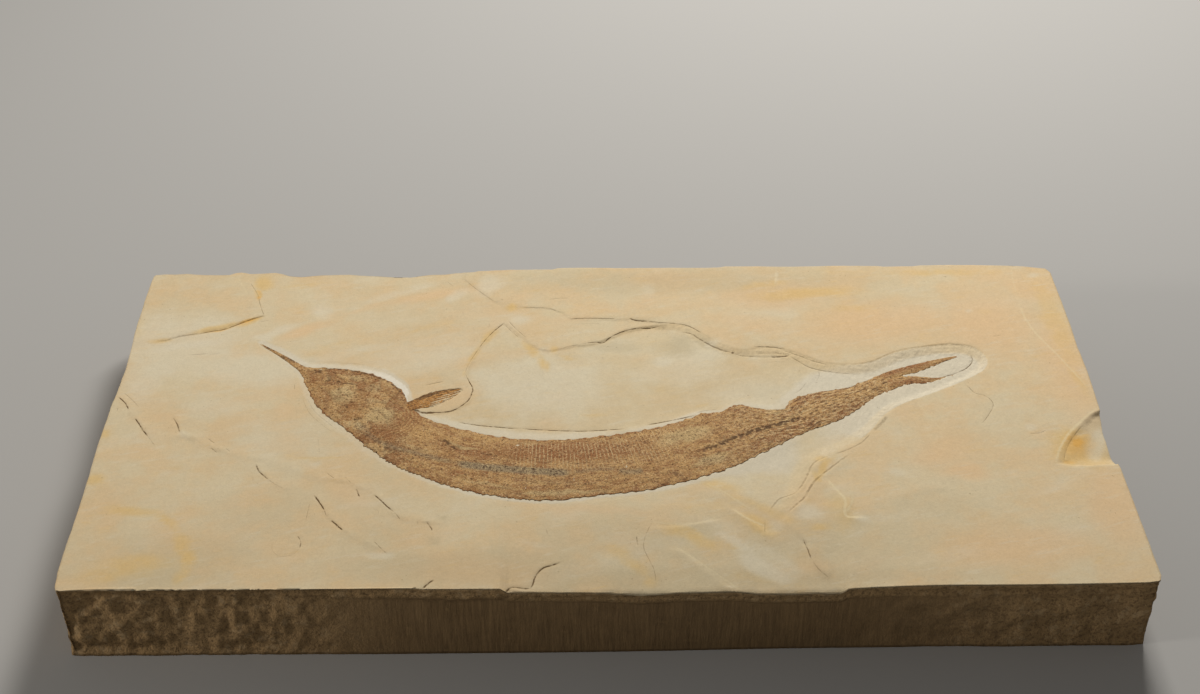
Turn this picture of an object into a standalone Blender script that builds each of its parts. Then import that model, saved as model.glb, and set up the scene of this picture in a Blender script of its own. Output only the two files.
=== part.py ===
"""Fossil fish slab: a squared block of bedded limestone with one long needle-nosed fish in it.

Two pieces make the object.  The stone is one block: its broken sides are set back a little
from its outline, its topmost bed is missing over most of the face, and a hollow has been
worked down round the fish, deepest as a trench round the forked tail.  The fish is one low
relief of bone and scale that sits in a bed cut to its own outline.

Plan points are in millimetres, +X along the slab and +Y away from its front face, measured
on the slab's face.  PLAN_CENTRE is the middle of the footprint, which becomes the origin.
"""
import math

import bmesh
import bpy
from mathutils import Vector, noise

MM = 0.001
OBJECT_NAME = "fossil_fish_slab"
CUTTER_GROUP = "cutters"

# Heights above the flat underside, in millimetres.
UPPER_BED_TOP = 65.8
FACE_TOP = 65.0
FISH_BASE = 58.8
SEAT_GAP = 0.3
CLEAR_ABOVE = 75.0
PLAN_CENTRE = (-0.87, 2.22)

# The broken sides: levels where the side changes, how far it is set back there, and how rough it is.
SIDE_STEP = 13.0
SIDE_LEVELS = (5.0, 14.0, 25.0, 36.0, 46.0, 55.0, 61.0)
END_TAPER = 2.4
FRONT_LEAN = 4.2
LEAN_FROM = -130.0
LEAN_TO = -400.0
CHIPPED_BAND = 55.0
CHIPPED_DEEPEST = 45.0
CHIPPED_REACH = 190.0
SIDE_ROUGHNESS = 3.2
FRONT_ROUGHNESS = (0.5, 2.6)
HACKLE_SIZE = 38.0
CHIP_SIZE = 14.0
BED_SIZE = 9.0

# The relief of the fish.
BODY_DIVISIONS = (100, 8)
LOBE_DIVISIONS = (14, 4)
FIN_DIVISIONS = (12, 4)
ROUNDING = 2.6
BUMP_SIZE = 17.0
BUMP_HEIGHT = 0.45

# Outline of the slab's face, anticlockwise from the front left corner.
SLAB_OUTLINE = [
    (-402.6, -202.6), (-401.0, -203.8), (-330.0, -204.4), (-150.0, -204.8), (20.0, -205.3),
    (140.0, -205.2), (237.0, -204.8), (312.0, -205.0), (389.0, -204.3), (398.6, -203.2),
    (400.0, -198.0), (399.6, -110.0), (400.0, -60.0), (400.5, 10.0),
    (400.9, 49.0), (399.8, 83.0), (400.4, 154.0), (400.2, 191.0), (398.6, 202.6),
    (383.0, 204.8), (361.0, 207.8), (294.0, 209.2), (253.0, 207.0), (230.0, 210.0),
    (199.0, 208.8), (110.0, 209.3), (92.0, 207.6), (-35.0, 209.2), (-44.0, 207.1),
    (-83.0, 206.6), (-110.0, 205.3), (-118.0, 203.6), (-149.0, 201.7), (-166.0, 198.0),
    (-189.0, 197.8), (-228.0, 201.5), (-269.0, 199.4), (-290.0, 205.3), (-315.0, 204.3),
    (-326.0, 206.0), (-332.0, 202.0), (-352.0, 202.8), (-366.0, 205.3), (-390.0, 204.9),
    (-397.0, 203.0), (-400.0, 198.0), (-400.9, 128.0), (-399.1, 60.0), (-401.7, 10.0),
    (-402.2, -100.0), (-402.8, -156.0),
]

# Where the topmost bed is missing: past the slab's sides, and along the edges of what is left.
MISSING_BED = [
    (-430.0, -240.0), (168.0, -240.0), (160.0, -196.0), (150.0, -178.0), (146.0, -156.0),
    (130.0, -136.0), (143.0, -113.0), (152.0, -98.0), (160.0, -78.0), (150.0, -40.0),
    (80.0, -20.0), (60.0, 100.0), (48.0, 124.0), (25.0, 128.5), (-28.0, 130.5),
    (-35.0, 140.0), (-47.0, 146.0), (-82.0, 150.5), (-96.0, 158.0), (-122.0, 192.0),
    (-134.0, 240.0), (-322.0, 240.0), (-313.0, 190.0), (-299.0, 160.0), (-293.0, 139.0),
    (-310.0, 131.0), (-328.0, 121.0), (-352.0, 113.5), (-372.0, 105.0), (-430.0, 92.0),
]

# Rim of the worked hollow, clockwise from its peak: x, y, width of the wall, depth of the floor.
HOLLOW = [
    (-85, 125, 1.5, 0.6), (-62, 96, 1.5, 0.6), (-48, 86, 2, 0.7), (-27, 92, 2, 0.9),
    (-8, 96, 2, 1.2), (4, 103, 2, 1.6), (20, 115, 2.5, 2.4), (38, 120, 3, 3.2),
    (54, 122, 3, 4.0), (70, 118, 3, 4.3), (82, 110, 4, 4.4), (104, 89, 4, 4.4),
    (118, 82, 4, 4.4), (135, 86, 6, 4.4), (152, 83, 6, 4.4), (170, 73, 6, 4.4),
    (185, 64, 5, 4.6), (205, 61, 5, 5.0), (222, 66, 4, 5.4), (245, 78, 4, 5.5),
    (268, 85, 4, 5.5), (290, 89, 4, 5.5), (306, 87, 4, 5.5), (317, 78, 4, 5.5),
    (321, 66, 4, 5.5), (315, 52, 4, 5.5), (303, 42, 4, 5.3), (284, 30, 5, 5.2),
    (262, 18, 5, 5.0), (240, 6, 6, 4.8), (224, -8, 6, 4.6), (212, -26, 7, 4.2),
    (196, -44, 9, 3.6), (176, -56, 10, 3.0), (162, -70, 10, 2.2), (151, -92, 10, 1.4),
    (140, -112, 8, 0.8), (126, -122, 8, 0.5), (108, -112, 10, 0.6), (88, -98, 10, 0.8),
    (68, -93, 6, 1.0), (20, -105, 4, 1.0), (-45, -114, 4, 1.0), (-85, -109, 4, 1.0),
    (-112, -101, 4, 1.0), (-150, -82, 4, 1.0), (-190, -50, 4, 1.0), (-208, -29, 4, 1.0),
    (-228, -8, 4, 1.0), (-248, 30, 4, 1.0), (-254, 48, 3, 1.0), (-270, 71, 2, 1.0),
    (-294, 98, 1.5, 0.8), (-295, 104, 1.5, 0.8), (-285, 100, 2, 0.8), (-262, 82, 2, 1.0),
    (-246, 74, 3, 1.2), (-222, 71, 4, 1.3), (-197, 65, 4, 1.3), (-178, 55, 4, 1.3),
    (-164, 42, 4, 1.3), (-156, 30, 3, 1.3), (-160, 20, 2, 1.0), (-166, 8, 2, 1.0),
    (-156, -4, 2, 0.8), (-140, 1, 2, 0.8), (-124, 5, 1.5, 0.7), (-113, 14, 1.5, 0.6),
    (-108, 26, 1.5, 0.6), (-115, 50, 1.5, 0.6), (-107, 85, 1.5, 0.6), (-98, 105, 1.5, 0.6),
]

# The flake lost from the right side: x, y, width of its wall, depth of its floor.
LOST_FLAKE = [
    (420, 6, 2, 9.5), (398, -3, 3, 7.0), (386, -12, 4, 5.0), (376, -24, 5, 3.6),
    (366, -36, 5, 2.8), (357, -51, 5, 2.2), (351, -63, 5, 2.0), (350, -71, 4, 2.2),
    (362, -73, 3, 3.0), (380, -72, 2, 5.0), (398, -71, 2, 8.0), (420, -70, 2, 9.5),
]

# Stations along the fish, beak to tail: point on its upper edge, point on its lower edge,
# height of its edge and of its crown above the underside.
BODY = [
    (-290.5, 98.5, -291.5, 97.8, 64.9, 65.2), (-278.0, 88.5, -280.0, 87.0, 65.0, 65.7),
    (-263.0, 76.5, -266.5, 73.5, 65.0, 66.0), (-251.0, 66.0, -256.0, 61.5, 65.0, 66.2),
    (-243.5, 64.0, -250.5, 52.0, 65.0, 66.3), (-229.0, 63.0, -245.5, 37.0, 65.2, 66.6),
    (-210.0, 60.0, -237.5, 18.0, 65.2, 66.9), (-193.0, 54.0, -227.0, 1.0, 65.2, 67.0),
    (-177.0, 43.0, -211.0, -16.0, 65.2, 67.0), (-166.0, 29.0, -195.0, -35.0, 65.2, 67.0),
    (-158.5, 10.0, -181.0, -50.0, 65.0, 67.0), (-148.0, -3.0, -169.0, -61.0, 65.0, 67.0),
    (-129.0, -14.0, -148.0, -75.5, 65.0, 67.0), (-104.0, -24.0, -117.0, -92.0, 65.0, 67.0),
    (-75.0, -32.0, -82.0, -103.0, 65.0, 67.0), (-42.0, -34.5, -45.0, -107.5, 65.0, 67.0),
    (-10.0, -31.5, -5.0, -102.0, 65.0, 67.0), (20.0, -25.0, 33.0, -95.5, 65.0, 66.9),
    (50.0, -16.5, 68.0, -83.5, 65.0, 66.7), (76.0, -3.5, 98.0, -69.5, 65.0, 66.5),
    (92.0, -0.5, 112.0, -60.0, 65.0, 66.3), (106.0, 9.0, 127.0, -49.5, 64.8, 66.1),
    (118.0, 6.0, 140.0, -39.5, 64.5, 65.9), (130.0, 3.0, 153.0, -30.5, 64.2, 65.7),
    (144.0, 4.5, 164.0, -24.0, 64.0, 65.5), (152.0, 16.5, 176.0, -17.5, 63.7, 65.2),
    (172.0, 26.0, 188.0, -10.0, 63.3, 64.8), (195.0, 31.5, 202.0, 2.0, 62.8, 64.2),
    (208.0, 37.5, 215.0, 14.0, 62.5, 63.9), (219.0, 44.0, 227.0, 24.5, 62.3, 63.7),
    (231.0, 51.0, 239.0, 32.5, 62.2, 63.5),
]
UPPER_LOBE = [
    (215.0, 41.5, 226.0, 34.0, 62.3, 63.2), (231.0, 52.0, 237.0, 42.5, 62.2, 63.3),
    (243.0, 58.0, 249.0, 49.5, 62.1, 63.2), (257.0, 63.5, 263.0, 54.5, 62.0, 63.0),
    (273.0, 69.5, 275.0, 62.5, 61.9, 62.8), (292.0, 76.5, 292.5, 75.8, 61.8, 62.2),
]
LOWER_LOBE = [
    (224.0, 40.0, 230.0, 24.0, 62.3, 63.2), (239.0, 46.5, 241.0, 33.0, 62.2, 63.3),
    (252.0, 48.0, 252.0, 36.5, 62.1, 63.1), (265.0, 46.5, 265.0, 38.0, 62.0, 62.9),
    (275.0, 45.5, 275.0, 41.5, 61.9, 62.6), (290.0, 49.6, 290.5, 48.9, 61.8, 62.0),
]
FIN = [
    (-166.0, 12.0, -160.0, 4.0, 65.0, 65.9), (-157.5, 19.0, -153.0, 10.5, 65.3, 66.2),
    (-148.0, 26.5, -143.0, 15.0, 65.3, 66.1), (-138.0, 31.0, -133.0, 19.5, 65.3, 65.9),
    (-127.0, 34.5, -124.5, 27.0, 65.2, 65.7), (-116.5, 37.5, -116.0, 36.6, 65.1, 65.4),
]


def plan(x, y):
    """A plan point in millimetres as metres from the middle of the footprint."""
    return (x - PLAN_CENTRE[0]) * MM, (y - PLAN_CENTRE[1]) * MM


def clear_scene():
    """Remove the objects that are in the file."""
    for old in list(bpy.data.objects):
        bpy.data.objects.remove(old, do_unlink=True)


def group(name):
    """A new collection in the scene."""
    collection = bpy.data.collections.new(name)
    bpy.context.scene.collection.children.link(collection)
    return collection


def finish_for(name, colour, roughness):
    """A plain Principled material."""
    material = bpy.data.materials.new(name)
    material.use_nodes = True
    shader = material.node_tree.nodes["Principled BSDF"]
    shader.inputs["Base Color"].default_value = (*colour, 1.0)
    shader.inputs["Roughness"].default_value = roughness
    shader.inputs["Metallic"].default_value = 0.0
    return material


def add_object(name, bm, collection, material=None):
    """Turn a bmesh into an object; a cutter has no material and stays out of the model."""
    mesh = bpy.data.meshes.new(name)
    bm.to_mesh(mesh)
    bm.free()
    made = bpy.data.objects.new(name, mesh)
    collection.objects.link(made)
    if material:
        mesh.materials.append(material)
    else:
        made.hide_render = True
        made.display_type = "WIRE"
    return made


def even_points(points, step):
    """Points along a closed outline, no further apart than step, with its corners kept."""
    spread = []
    for index, start in enumerate(points):
        end = points[(index + 1) % len(points)]
        count = max(1, math.ceil(math.dist(start, end) / step))
        for part in range(count):
            share = part / count
            spread.append((start[0] + (end[0] - start[0]) * share, start[1] + (end[1] - start[1]) * share))
    return spread


def raised_outline(points, low, high, collection):
    """A bmesh of a flat outline raised from one height to another, its caps welded on."""
    curve = bpy.data.curves.new("outline", "CURVE")
    curve.dimensions = "2D"
    curve.fill_mode = "BOTH"
    curve.extrude = (high - low) * MM / 2
    spline = curve.splines.new("POLY")
    spline.points.add(len(points) - 1)
    for point, place in zip(spline.points, points):
        point.co = (*plan(*place), 0.0, 1.0)
    spline.use_cyclic_u = True
    outline = bpy.data.objects.new("outline", curve)
    outline.location.z = (high + low) * MM / 2
    collection.objects.link(outline)
    bpy.context.view_layer.update()
    evaluated = outline.evaluated_get(bpy.context.evaluated_depsgraph_get())
    mesh = bpy.data.meshes.new_from_object(evaluated)
    bm = bmesh.new()
    bm.from_mesh(mesh)
    bm.transform(outline.matrix_world)
    bpy.data.objects.remove(outline, do_unlink=True)
    bmesh.ops.remove_doubles(bm, verts=bm.verts, dist=0.00001)
    bmesh.ops.dissolve_limit(bm, angle_limit=0.001, verts=bm.verts, edges=bm.edges)
    bmesh.ops.recalc_face_normals(bm, faces=bm.faces)
    return bm


def hackle(x, y, z, size):
    """Smooth noise from 0 to 1 for a place on the side, in millimetres."""
    return 0.5 + 0.5 * noise.noise(Vector((x, y, z)) / size)


def set_back(x, y, z, facing):
    """How far the broken side stands back from the outline at a place, in millimetres."""
    height = z / FACE_TOP
    on_front = facing.y < -0.7
    if on_front:
        calm, wild = FRONT_ROUGHNESS
        rough = calm + (wild - calm) * min(abs(x) / 400.0, 1.0) ** 1.5
    else:
        rough = SIDE_ROUGHNESS * (1.0 - 0.8 * min(height, 1.0) ** 6)
        if facing.x > 0.7:
            rough *= 0.6
    lumps = hackle(x, y, z, HACKLE_SIZE)
    chips = 0.5 * hackle(x + 300.0, y, z, CHIP_SIZE)
    beds = 0.4 * hackle(x * 0.15, y * 0.15, z, BED_SIZE)
    depth = rough * (lumps + chips + beds - 0.7)
    if abs(facing.x) > 0.7:
        depth += END_TAPER * (1.0 - height) ** 2
    if on_front:
        lean = min(max((x - LEAN_FROM) / (LEAN_TO - LEAN_FROM), 0.0), 1.0)
        depth += FRONT_LEAN * lean * height
        if z > CHIPPED_BAND:
            rise = (z - CHIPPED_BAND) / (UPPER_BED_TOP - CHIPPED_BAND)
            spread = math.exp(-((x - CHIPPED_DEEPEST) / CHIPPED_REACH) ** 2)
            depth += rise ** 2 * (0.4 + 2.0 * spread + 1.2 * hackle(x, 0.0, 0.0, CHIP_SIZE))
    return max(depth, 0.0)


def stone_block(collection, material):
    """The squared block with its sides broken back level by level."""
    outline = even_points(SLAB_OUTLINE, SIDE_STEP)
    bm = raised_outline(outline, 0.0, UPPER_BED_TOP, collection)
    for level in SIDE_LEVELS:
        everything = bm.verts[:] + bm.edges[:] + bm.faces[:]
        bmesh.ops.bisect_plane(bm, geom=everything, plane_co=(0, 0, level * MM), plane_no=(0, 0, 1))
    bm.normal_update()
    facings = [Vector((vert.normal.x, vert.normal.y, 0.0)).normalized() for vert in bm.verts]
    for vert, facing in zip(list(bm.verts), facings):
        x, y, z = vert.co / MM
        vert.co -= facing * set_back(x, y, z, facing) * MM
    return add_object("limestone_slab", bm, collection, material)


def dish(name, rim, collection):
    """A cutter with a sloping wall: a closed rim, a toe set in from it, and a floor below the face."""
    bm = bmesh.new()
    places = [Vector(entry[:2]) for entry in rim]
    lid, edge, toe = [], [], []
    for index, entry in enumerate(rim):
        run = (places[(index + 1) % len(rim)] - places[index - 1]).normalized()
        inward = Vector((run.y, -run.x))
        here = places[index]
        wall, depth = entry[2], entry[3]
        foot = here + inward * wall
        lift = wall * (CLEAR_ABOVE - FACE_TOP) / max(depth, 2.0)
        brow = here - inward * min(lift, 4.0)
        lid.append(bm.verts.new((*plan(*brow), CLEAR_ABOVE * MM)))
        edge.append(bm.verts.new((*plan(*here), FACE_TOP * MM)))
        toe.append(bm.verts.new((*plan(*foot), (FACE_TOP - depth) * MM)))
    for upper, lower in ((lid, edge), (edge, toe)):
        for index in range(len(rim)):
            after = (index + 1) % len(rim)
            bm.faces.new((upper[index], upper[after], lower[after], lower[index]))
    bm.faces.new(lid)
    floor = bm.faces.new(toe)
    bmesh.ops.triangulate(bm, faces=[floor], ngon_method="BEAUTY")
    bmesh.ops.recalc_face_normals(bm, faces=bm.faces)
    return add_object(name, bm, collection)


def blend(values, share):
    """A smooth value a share of the way through a list of equally spaced values (Catmull-Rom)."""
    place = share * (len(values) - 1)
    index = min(int(place), len(values) - 2)
    part = place - index
    before = values[max(index - 1, 0)]
    start = values[index]
    end = values[index + 1]
    after = values[min(index + 2, len(values) - 1)]
    bend = (end - before) * part + (2 * before - 5 * start + 4 * end - after) * part ** 2
    bend += (3 * start - before - 3 * end + after) * part ** 3
    return start + bend / 2


def relief(name, stations, divisions, collection, material=None):
    """A low closed solid between an upper and a lower edge: domed on top, flat underneath.

    Without a material it is the cutter for its own bed: wider by the seat gap, deeper, and
    tall enough to clear the face.
    """
    uppers = [Vector((x, y)) for x, y, _, _, _, _ in stations]
    lowers = [Vector((x, y)) for _, _, x, y, _, _ in stations]
    edge_heights = [entry[4] for entry in stations]
    crown_heights = [entry[5] for entry in stations]
    is_bed = material is None
    base = FISH_BASE - SEAT_GAP if is_bed else FISH_BASE
    bm = bmesh.new()
    bmesh.ops.create_grid(bm, x_segments=divisions[0], y_segments=divisions[1], size=1.0)
    for vert in bm.verts:
        share = (vert.co.x + 1.0) / 2.0
        across = vert.co.y
        upper = blend(uppers, share)
        lower = blend(lowers, share)
        half = (upper - lower) / 2.0
        place = (upper + lower) / 2.0 + half * across
        edge = blend(edge_heights, share)
        crown = blend(crown_heights, share)
        height = edge + (crown - edge) * (1.0 - abs(across) ** ROUNDING)
        height += BUMP_HEIGHT * (1.0 - across ** 2) * noise.noise(Vector((*place, 0.0)) / BUMP_SIZE)
        if is_bed:
            forward = (blend(uppers, min(share + 0.01, 1.0)) - blend(uppers, max(share - 0.01, 0.0)))
            place += half.normalized() * across * SEAT_GAP * 1.2
            place += forward.normalized() * (2.0 * share - 1.0) ** 9 * SEAT_GAP * 1.2
            height = CLEAR_ABOVE
        vert.co = (*plan(*place), height * MM)
    top = list(bm.faces)
    under = bmesh.ops.extrude_face_region(bm, geom=top)
    for item in under["geom"]:
        if isinstance(item, bmesh.types.BMVert):
            item.co.z = base * MM
    flat = [item for item in under["geom"] if isinstance(item, bmesh.types.BMFace)]
    inner = [edge for edge in bm.edges if all(face in flat for face in edge.link_faces)]
    bmesh.ops.dissolve_edges(bm, edges=inner, use_verts=False)
    bmesh.ops.recalc_face_normals(bm, faces=bm.faces)
    return add_object(name, bm, collection, material)


def join(target, tool, operation):
    """Add or take away another solid, exactly."""
    modifier = target.modifiers.new(tool.name, "BOOLEAN")
    modifier.solver = "EXACT"
    modifier.operation = operation
    modifier.object = tool


def build():
    """Make the two pieces."""
    clear_scene()
    parts = group(OBJECT_NAME)
    cutters = group(CUTTER_GROUP)
    stone = finish_for("limestone", (0.72, 0.60, 0.42), 0.85)
    bone = finish_for("fossil_bone", (0.30, 0.17, 0.07), 0.6)

    fish = relief("fossil_fish", BODY, BODY_DIVISIONS, parts, bone)
    additions = (("upper_lobe", UPPER_LOBE, LOBE_DIVISIONS),
                 ("lower_lobe", LOWER_LOBE, LOBE_DIVISIONS),
                 ("fin", FIN, FIN_DIVISIONS))
    for name, stations, divisions in additions:
        piece = relief(name, stations, divisions, cutters, bone)
        piece.hide_render = True
        piece.display_type = "WIRE"
        join(fish, piece, "UNION")

    slab = stone_block(parts, stone)
    missing = add_object("missing_bed",
                         raised_outline(MISSING_BED, FACE_TOP, CLEAR_ABOVE, cutters), cutters)
    join(slab, missing, "DIFFERENCE")
    join(slab, dish("hollow", HOLLOW, cutters), "DIFFERENCE")
    join(slab, dish("lost_flake", LOST_FLAKE, cutters), "DIFFERENCE")
    join(slab, relief("body_bed", BODY, BODY_DIVISIONS, cutters), "DIFFERENCE")
    for name, stations, divisions in additions:
        join(slab, relief(name + "_bed", stations, divisions, cutters), "DIFFERENCE")


build()
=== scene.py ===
# %% [markdown]
# # A fossil fish slab
# The object is a squared block of bedded limestone, 0.80 m long, with one long needle-nosed fish
# lying in its upper face. Two pieces are modelled: the stone and the fish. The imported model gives
# their places, so the script loads it first and keeps its box, which the finer shapes must not leave.

import math

import bmesh
import bpy
import numpy as np
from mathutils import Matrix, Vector, noise


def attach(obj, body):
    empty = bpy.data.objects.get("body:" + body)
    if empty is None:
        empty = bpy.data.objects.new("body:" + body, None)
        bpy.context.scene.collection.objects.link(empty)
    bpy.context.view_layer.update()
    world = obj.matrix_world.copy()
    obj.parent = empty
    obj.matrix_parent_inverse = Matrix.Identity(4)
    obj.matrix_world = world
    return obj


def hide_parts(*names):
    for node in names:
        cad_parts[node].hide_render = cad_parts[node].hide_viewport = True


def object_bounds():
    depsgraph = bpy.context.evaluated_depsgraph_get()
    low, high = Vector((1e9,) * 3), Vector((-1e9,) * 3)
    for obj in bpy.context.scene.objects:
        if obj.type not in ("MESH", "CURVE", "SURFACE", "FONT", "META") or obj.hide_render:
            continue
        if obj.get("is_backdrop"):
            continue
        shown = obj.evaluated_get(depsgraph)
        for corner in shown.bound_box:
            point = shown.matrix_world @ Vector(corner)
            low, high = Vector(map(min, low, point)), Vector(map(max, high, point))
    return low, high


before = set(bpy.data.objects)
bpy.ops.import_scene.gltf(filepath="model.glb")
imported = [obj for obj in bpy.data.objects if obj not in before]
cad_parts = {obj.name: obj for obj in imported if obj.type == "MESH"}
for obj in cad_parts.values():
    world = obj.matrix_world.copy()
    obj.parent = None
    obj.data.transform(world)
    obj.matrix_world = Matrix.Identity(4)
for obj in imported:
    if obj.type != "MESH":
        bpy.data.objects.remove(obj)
model_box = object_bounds()
print("packed pieces:", sorted(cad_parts))

# %% [markdown]
# ## The camera
# A slab this size is best seen from a standing person's height, a little over a metre above it.
# A lens near 57 mm keeps the far edge from shrinking too much. The camera sits at that place and
# is tilted down, and it turns by under a degree to put the slab in the middle of the picture.

# %% Camera
CAMERA_PLACE = (-0.0211, -1.2103, 1.0146)
CAMERA_TILT = 36.19
CAMERA_TURN = 0.805
LENS = 57.1


def add_camera():
    """A camera at the viewing place, made the scene's own."""
    data = bpy.data.cameras.new("camera")
    data.lens = LENS
    data.sensor_width = 36.0
    data.sensor_fit = "HORIZONTAL"
    camera = bpy.data.objects.new("camera", data)
    camera.location = CAMERA_PLACE
    camera.rotation_euler = (math.radians(90.0 - CAMERA_TILT), 0.0, math.radians(-CAMERA_TURN))
    bpy.context.scene.collection.objects.link(camera)
    bpy.context.scene.camera = camera


add_camera()

# %% [markdown]
# ## The studio
# Low relief only shows when light rakes across it. One large soft box stands behind the slab to
# the right, so each wall that faces the viewer falls in shade. A small weak box low on the left
# rakes across the front, and an even surround keeps the shade readable. The floor is a plain sheet.

# %% Floor and lights
FLOOR_HALF = 6.0
KEY = {"place": (0.5, 1.55, 1.65), "size": 0.7, "power": 52.0, "colour": (1.0, 0.97, 0.92)}
FILL = {"place": (-2.0, -0.5, 0.75), "size": 0.35, "power": 15.0, "colour": (1.0, 0.95, 0.88)}
SURROUND = (1.0, 0.98, 0.95)
SURROUND_STRENGTH = 0.13


def plain_finish(name, colour, roughness):
    """A material with one colour, for what isn't part of the object."""
    finish = bpy.data.materials.new(name)
    finish.use_nodes = True
    shader = finish.node_tree.nodes["Principled BSDF"]
    shader.inputs["Base Color"].default_value = (*colour, 1.0)
    shader.inputs["Roughness"].default_value = roughness
    shader.inputs["Specular IOR Level"].default_value = 0.0
    return finish


def add_floor():
    """A wide flat sheet under the slab."""
    sheet = bmesh.new()
    bmesh.ops.create_grid(sheet, x_segments=1, y_segments=1, size=FLOOR_HALF)
    mesh = bpy.data.meshes.new("floor")
    sheet.to_mesh(mesh)
    sheet.free()
    mesh.materials.append(plain_finish("pale floor", (0.40, 0.393, 0.38), 0.9))
    floor = bpy.data.objects.new("floor", mesh)
    bpy.context.scene.collection.objects.link(floor)
    floor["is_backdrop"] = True


def add_soft_box(name, place, size, power, colour):
    """A square area light that looks at the middle of the slab."""
    data = bpy.data.lights.new(name, "AREA")
    data.shape = "SQUARE"
    data.size = size
    data.energy = power
    data.color = colour
    lamp = bpy.data.objects.new(name, data)
    lamp.location = place
    lamp.rotation_euler = (-Vector(place)).to_track_quat("-Z", "Y").to_euler()
    bpy.context.scene.collection.objects.link(lamp)


def add_surround():
    """An even pale light from all around."""
    world = bpy.data.worlds.new("surround")
    world.use_nodes = True
    background = world.node_tree.nodes["Background"]
    background.inputs["Color"].default_value = (*SURROUND, 1.0)
    background.inputs["Strength"].default_value = SURROUND_STRENGTH
    bpy.context.scene.world = world


add_floor()
add_soft_box("key light", **KEY)
add_soft_box("fill light", **FILL)
add_surround()
bpy.context.scene.view_settings.view_transform = "Standard"

# %% [markdown]
# ## Lines and noise
# Everything on the stone follows a line: its outline, the rim of the hollow, each crack. A few
# listed points give each line its course. A smooth curve through them is cheap to work out,
# and a point's distance from that curve then tells how deep or how dark the stone is there.
# Plan points are in millimetres on the slab's face, measured from a point near its middle.

# %% Smooth curves through a few points
MM = 0.001
PLAN_CENTRE = np.array((-0.87, 2.22))


def spaced(values, share):
    """Smooth values at the given shares of the way along evenly counted ones (Catmull-Rom)."""
    values = np.asarray(values, float)
    place = np.clip(share, 0.0, 1.0) * (len(values) - 1)
    index = np.minimum(place.astype(int), len(values) - 2)
    part = (place - index)[:, None]
    before = values[np.maximum(index - 1, 0)]
    start = values[index]
    end = values[index + 1]
    after = values[np.minimum(index + 2, len(values) - 1)]
    bend = (end - before) * part + (2 * before - 5 * start + 4 * end - after) * part ** 2
    bend += (3 * start - before - 3 * end + after) * part ** 3
    return start + bend / 2


def curve_through(points, step=3.0, closed=False):
    """A smooth line through given points, with any further columns carried along it."""
    knots = np.array(points, float)
    if closed:
        knots = np.vstack([knots, knots[:1]])
    lengths = np.hypot(*(knots[1:, :2] - knots[:-1, :2]).T)
    counts = np.maximum(np.ceil(lengths / step).astype(int), 1)
    shares = [index + np.arange(count) / count for index, count in enumerate(counts)]
    shares = np.append(np.concatenate(shares), len(knots) - 1.0)
    if closed:
        around = np.vstack([knots[-2:-1], knots, knots[1:2]])
        line = spaced(around, (shares + 1.0) / (len(around) - 1))
        return line[:-1]
    return spaced(knots, shares / (len(knots) - 1))


def distance_to(points, line, closed=False, reach=None):
    """Distance from each point to a line, its side (+1 is left) and the line's other columns there."""
    count = len(points)
    gap = np.full(count, 1e6 if reach is None else reach, float)
    side = np.ones(count)
    others = np.zeros((count, line.shape[1] - 2))
    travel = np.zeros(count)
    near = np.arange(count)
    if reach is not None:
        low = line[:, :2].min(0) - reach
        high = line[:, :2].max(0) + reach
        near = np.nonzero(((points > low) & (points < high)).all(1))[0]
    some = points[near]
    best = np.full(len(near), 1e6)
    best_side = np.ones(len(near))
    best_others = np.zeros((len(near), line.shape[1] - 2))
    best_travel = np.zeros(len(near))
    ends = np.vstack([line, line[:1]]) if closed else line
    done = 0.0
    for start, end in zip(ends[:-1], ends[1:]):
        run = end[:2] - start[:2]
        length = max(float(np.hypot(*run)), 1e-9)
        offset = some - start[:2]
        share = np.clip(offset @ run / length ** 2, 0.0, 1.0)
        away = np.hypot(*(offset - share[:, None] * run).T)
        closer = away < best
        best[closer] = away[closer]
        turn = run[0] * offset[closer, 1] - run[1] * offset[closer, 0]
        best_side[closer] = np.where(turn >= 0.0, 1.0, -1.0)
        best_travel[closer] = done + share[closer] * length
        best_others[closer] = start[2:] + share[closer, None] * (end[2:] - start[2:])
        done += length
    gap[near] = best if reach is None else np.minimum(best, reach)
    side[near] = best_side
    others[near] = best_others
    travel[near] = best_travel / done
    return gap, side, others, travel


def inside(points, outline):
    """True for each point inside a closed outline."""
    x, y = points.T
    crossed = np.zeros(len(points), bool)
    for (x0, y0), (x1, y1) in zip(outline[:, :2], np.roll(outline[:, :2], -1, axis=0)):
        if y0 == y1:
            continue
        straddles = (y0 > y) != (y1 > y)
        crossed ^= straddles & (x < x0 + (x1 - x0) * (y - y0) / (y1 - y0))
    return crossed


def cloud(points, size, level=0.0, stretch=(1.0, 1.0)):
    """Smooth noise from -1 to 1 at each plan point, with features of the given size."""
    scaled = points / (np.array(stretch) * size)
    return np.fromiter((noise.noise((x, y, level)) for x, y in scaled), float, len(points))


def rough_cloud(points, size, level=0.0, octaves=4):
    """Rugged noise, about -1 to 1, with detail down to a fraction of its size."""
    scaled = points / size
    return np.fromiter((noise.fractal((x, y, level), 0.9, 2.1, octaves) for x, y in scaled),
                       float, len(points))


def soft_step(value, low, high):
    """0 below low, 1 above high, smooth between."""
    part = np.clip((value - low) / (high - low), 0.0, 1.0)
    return part * part * (3.0 - 2.0 * part)

# %% [markdown]
# ## The outline of the block
# The block was split and dressed by hand. Its back edge is nicked all along, the ends are nearly
# straight and the front was sawn and then chipped from below. Each side is one line of points.

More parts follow.
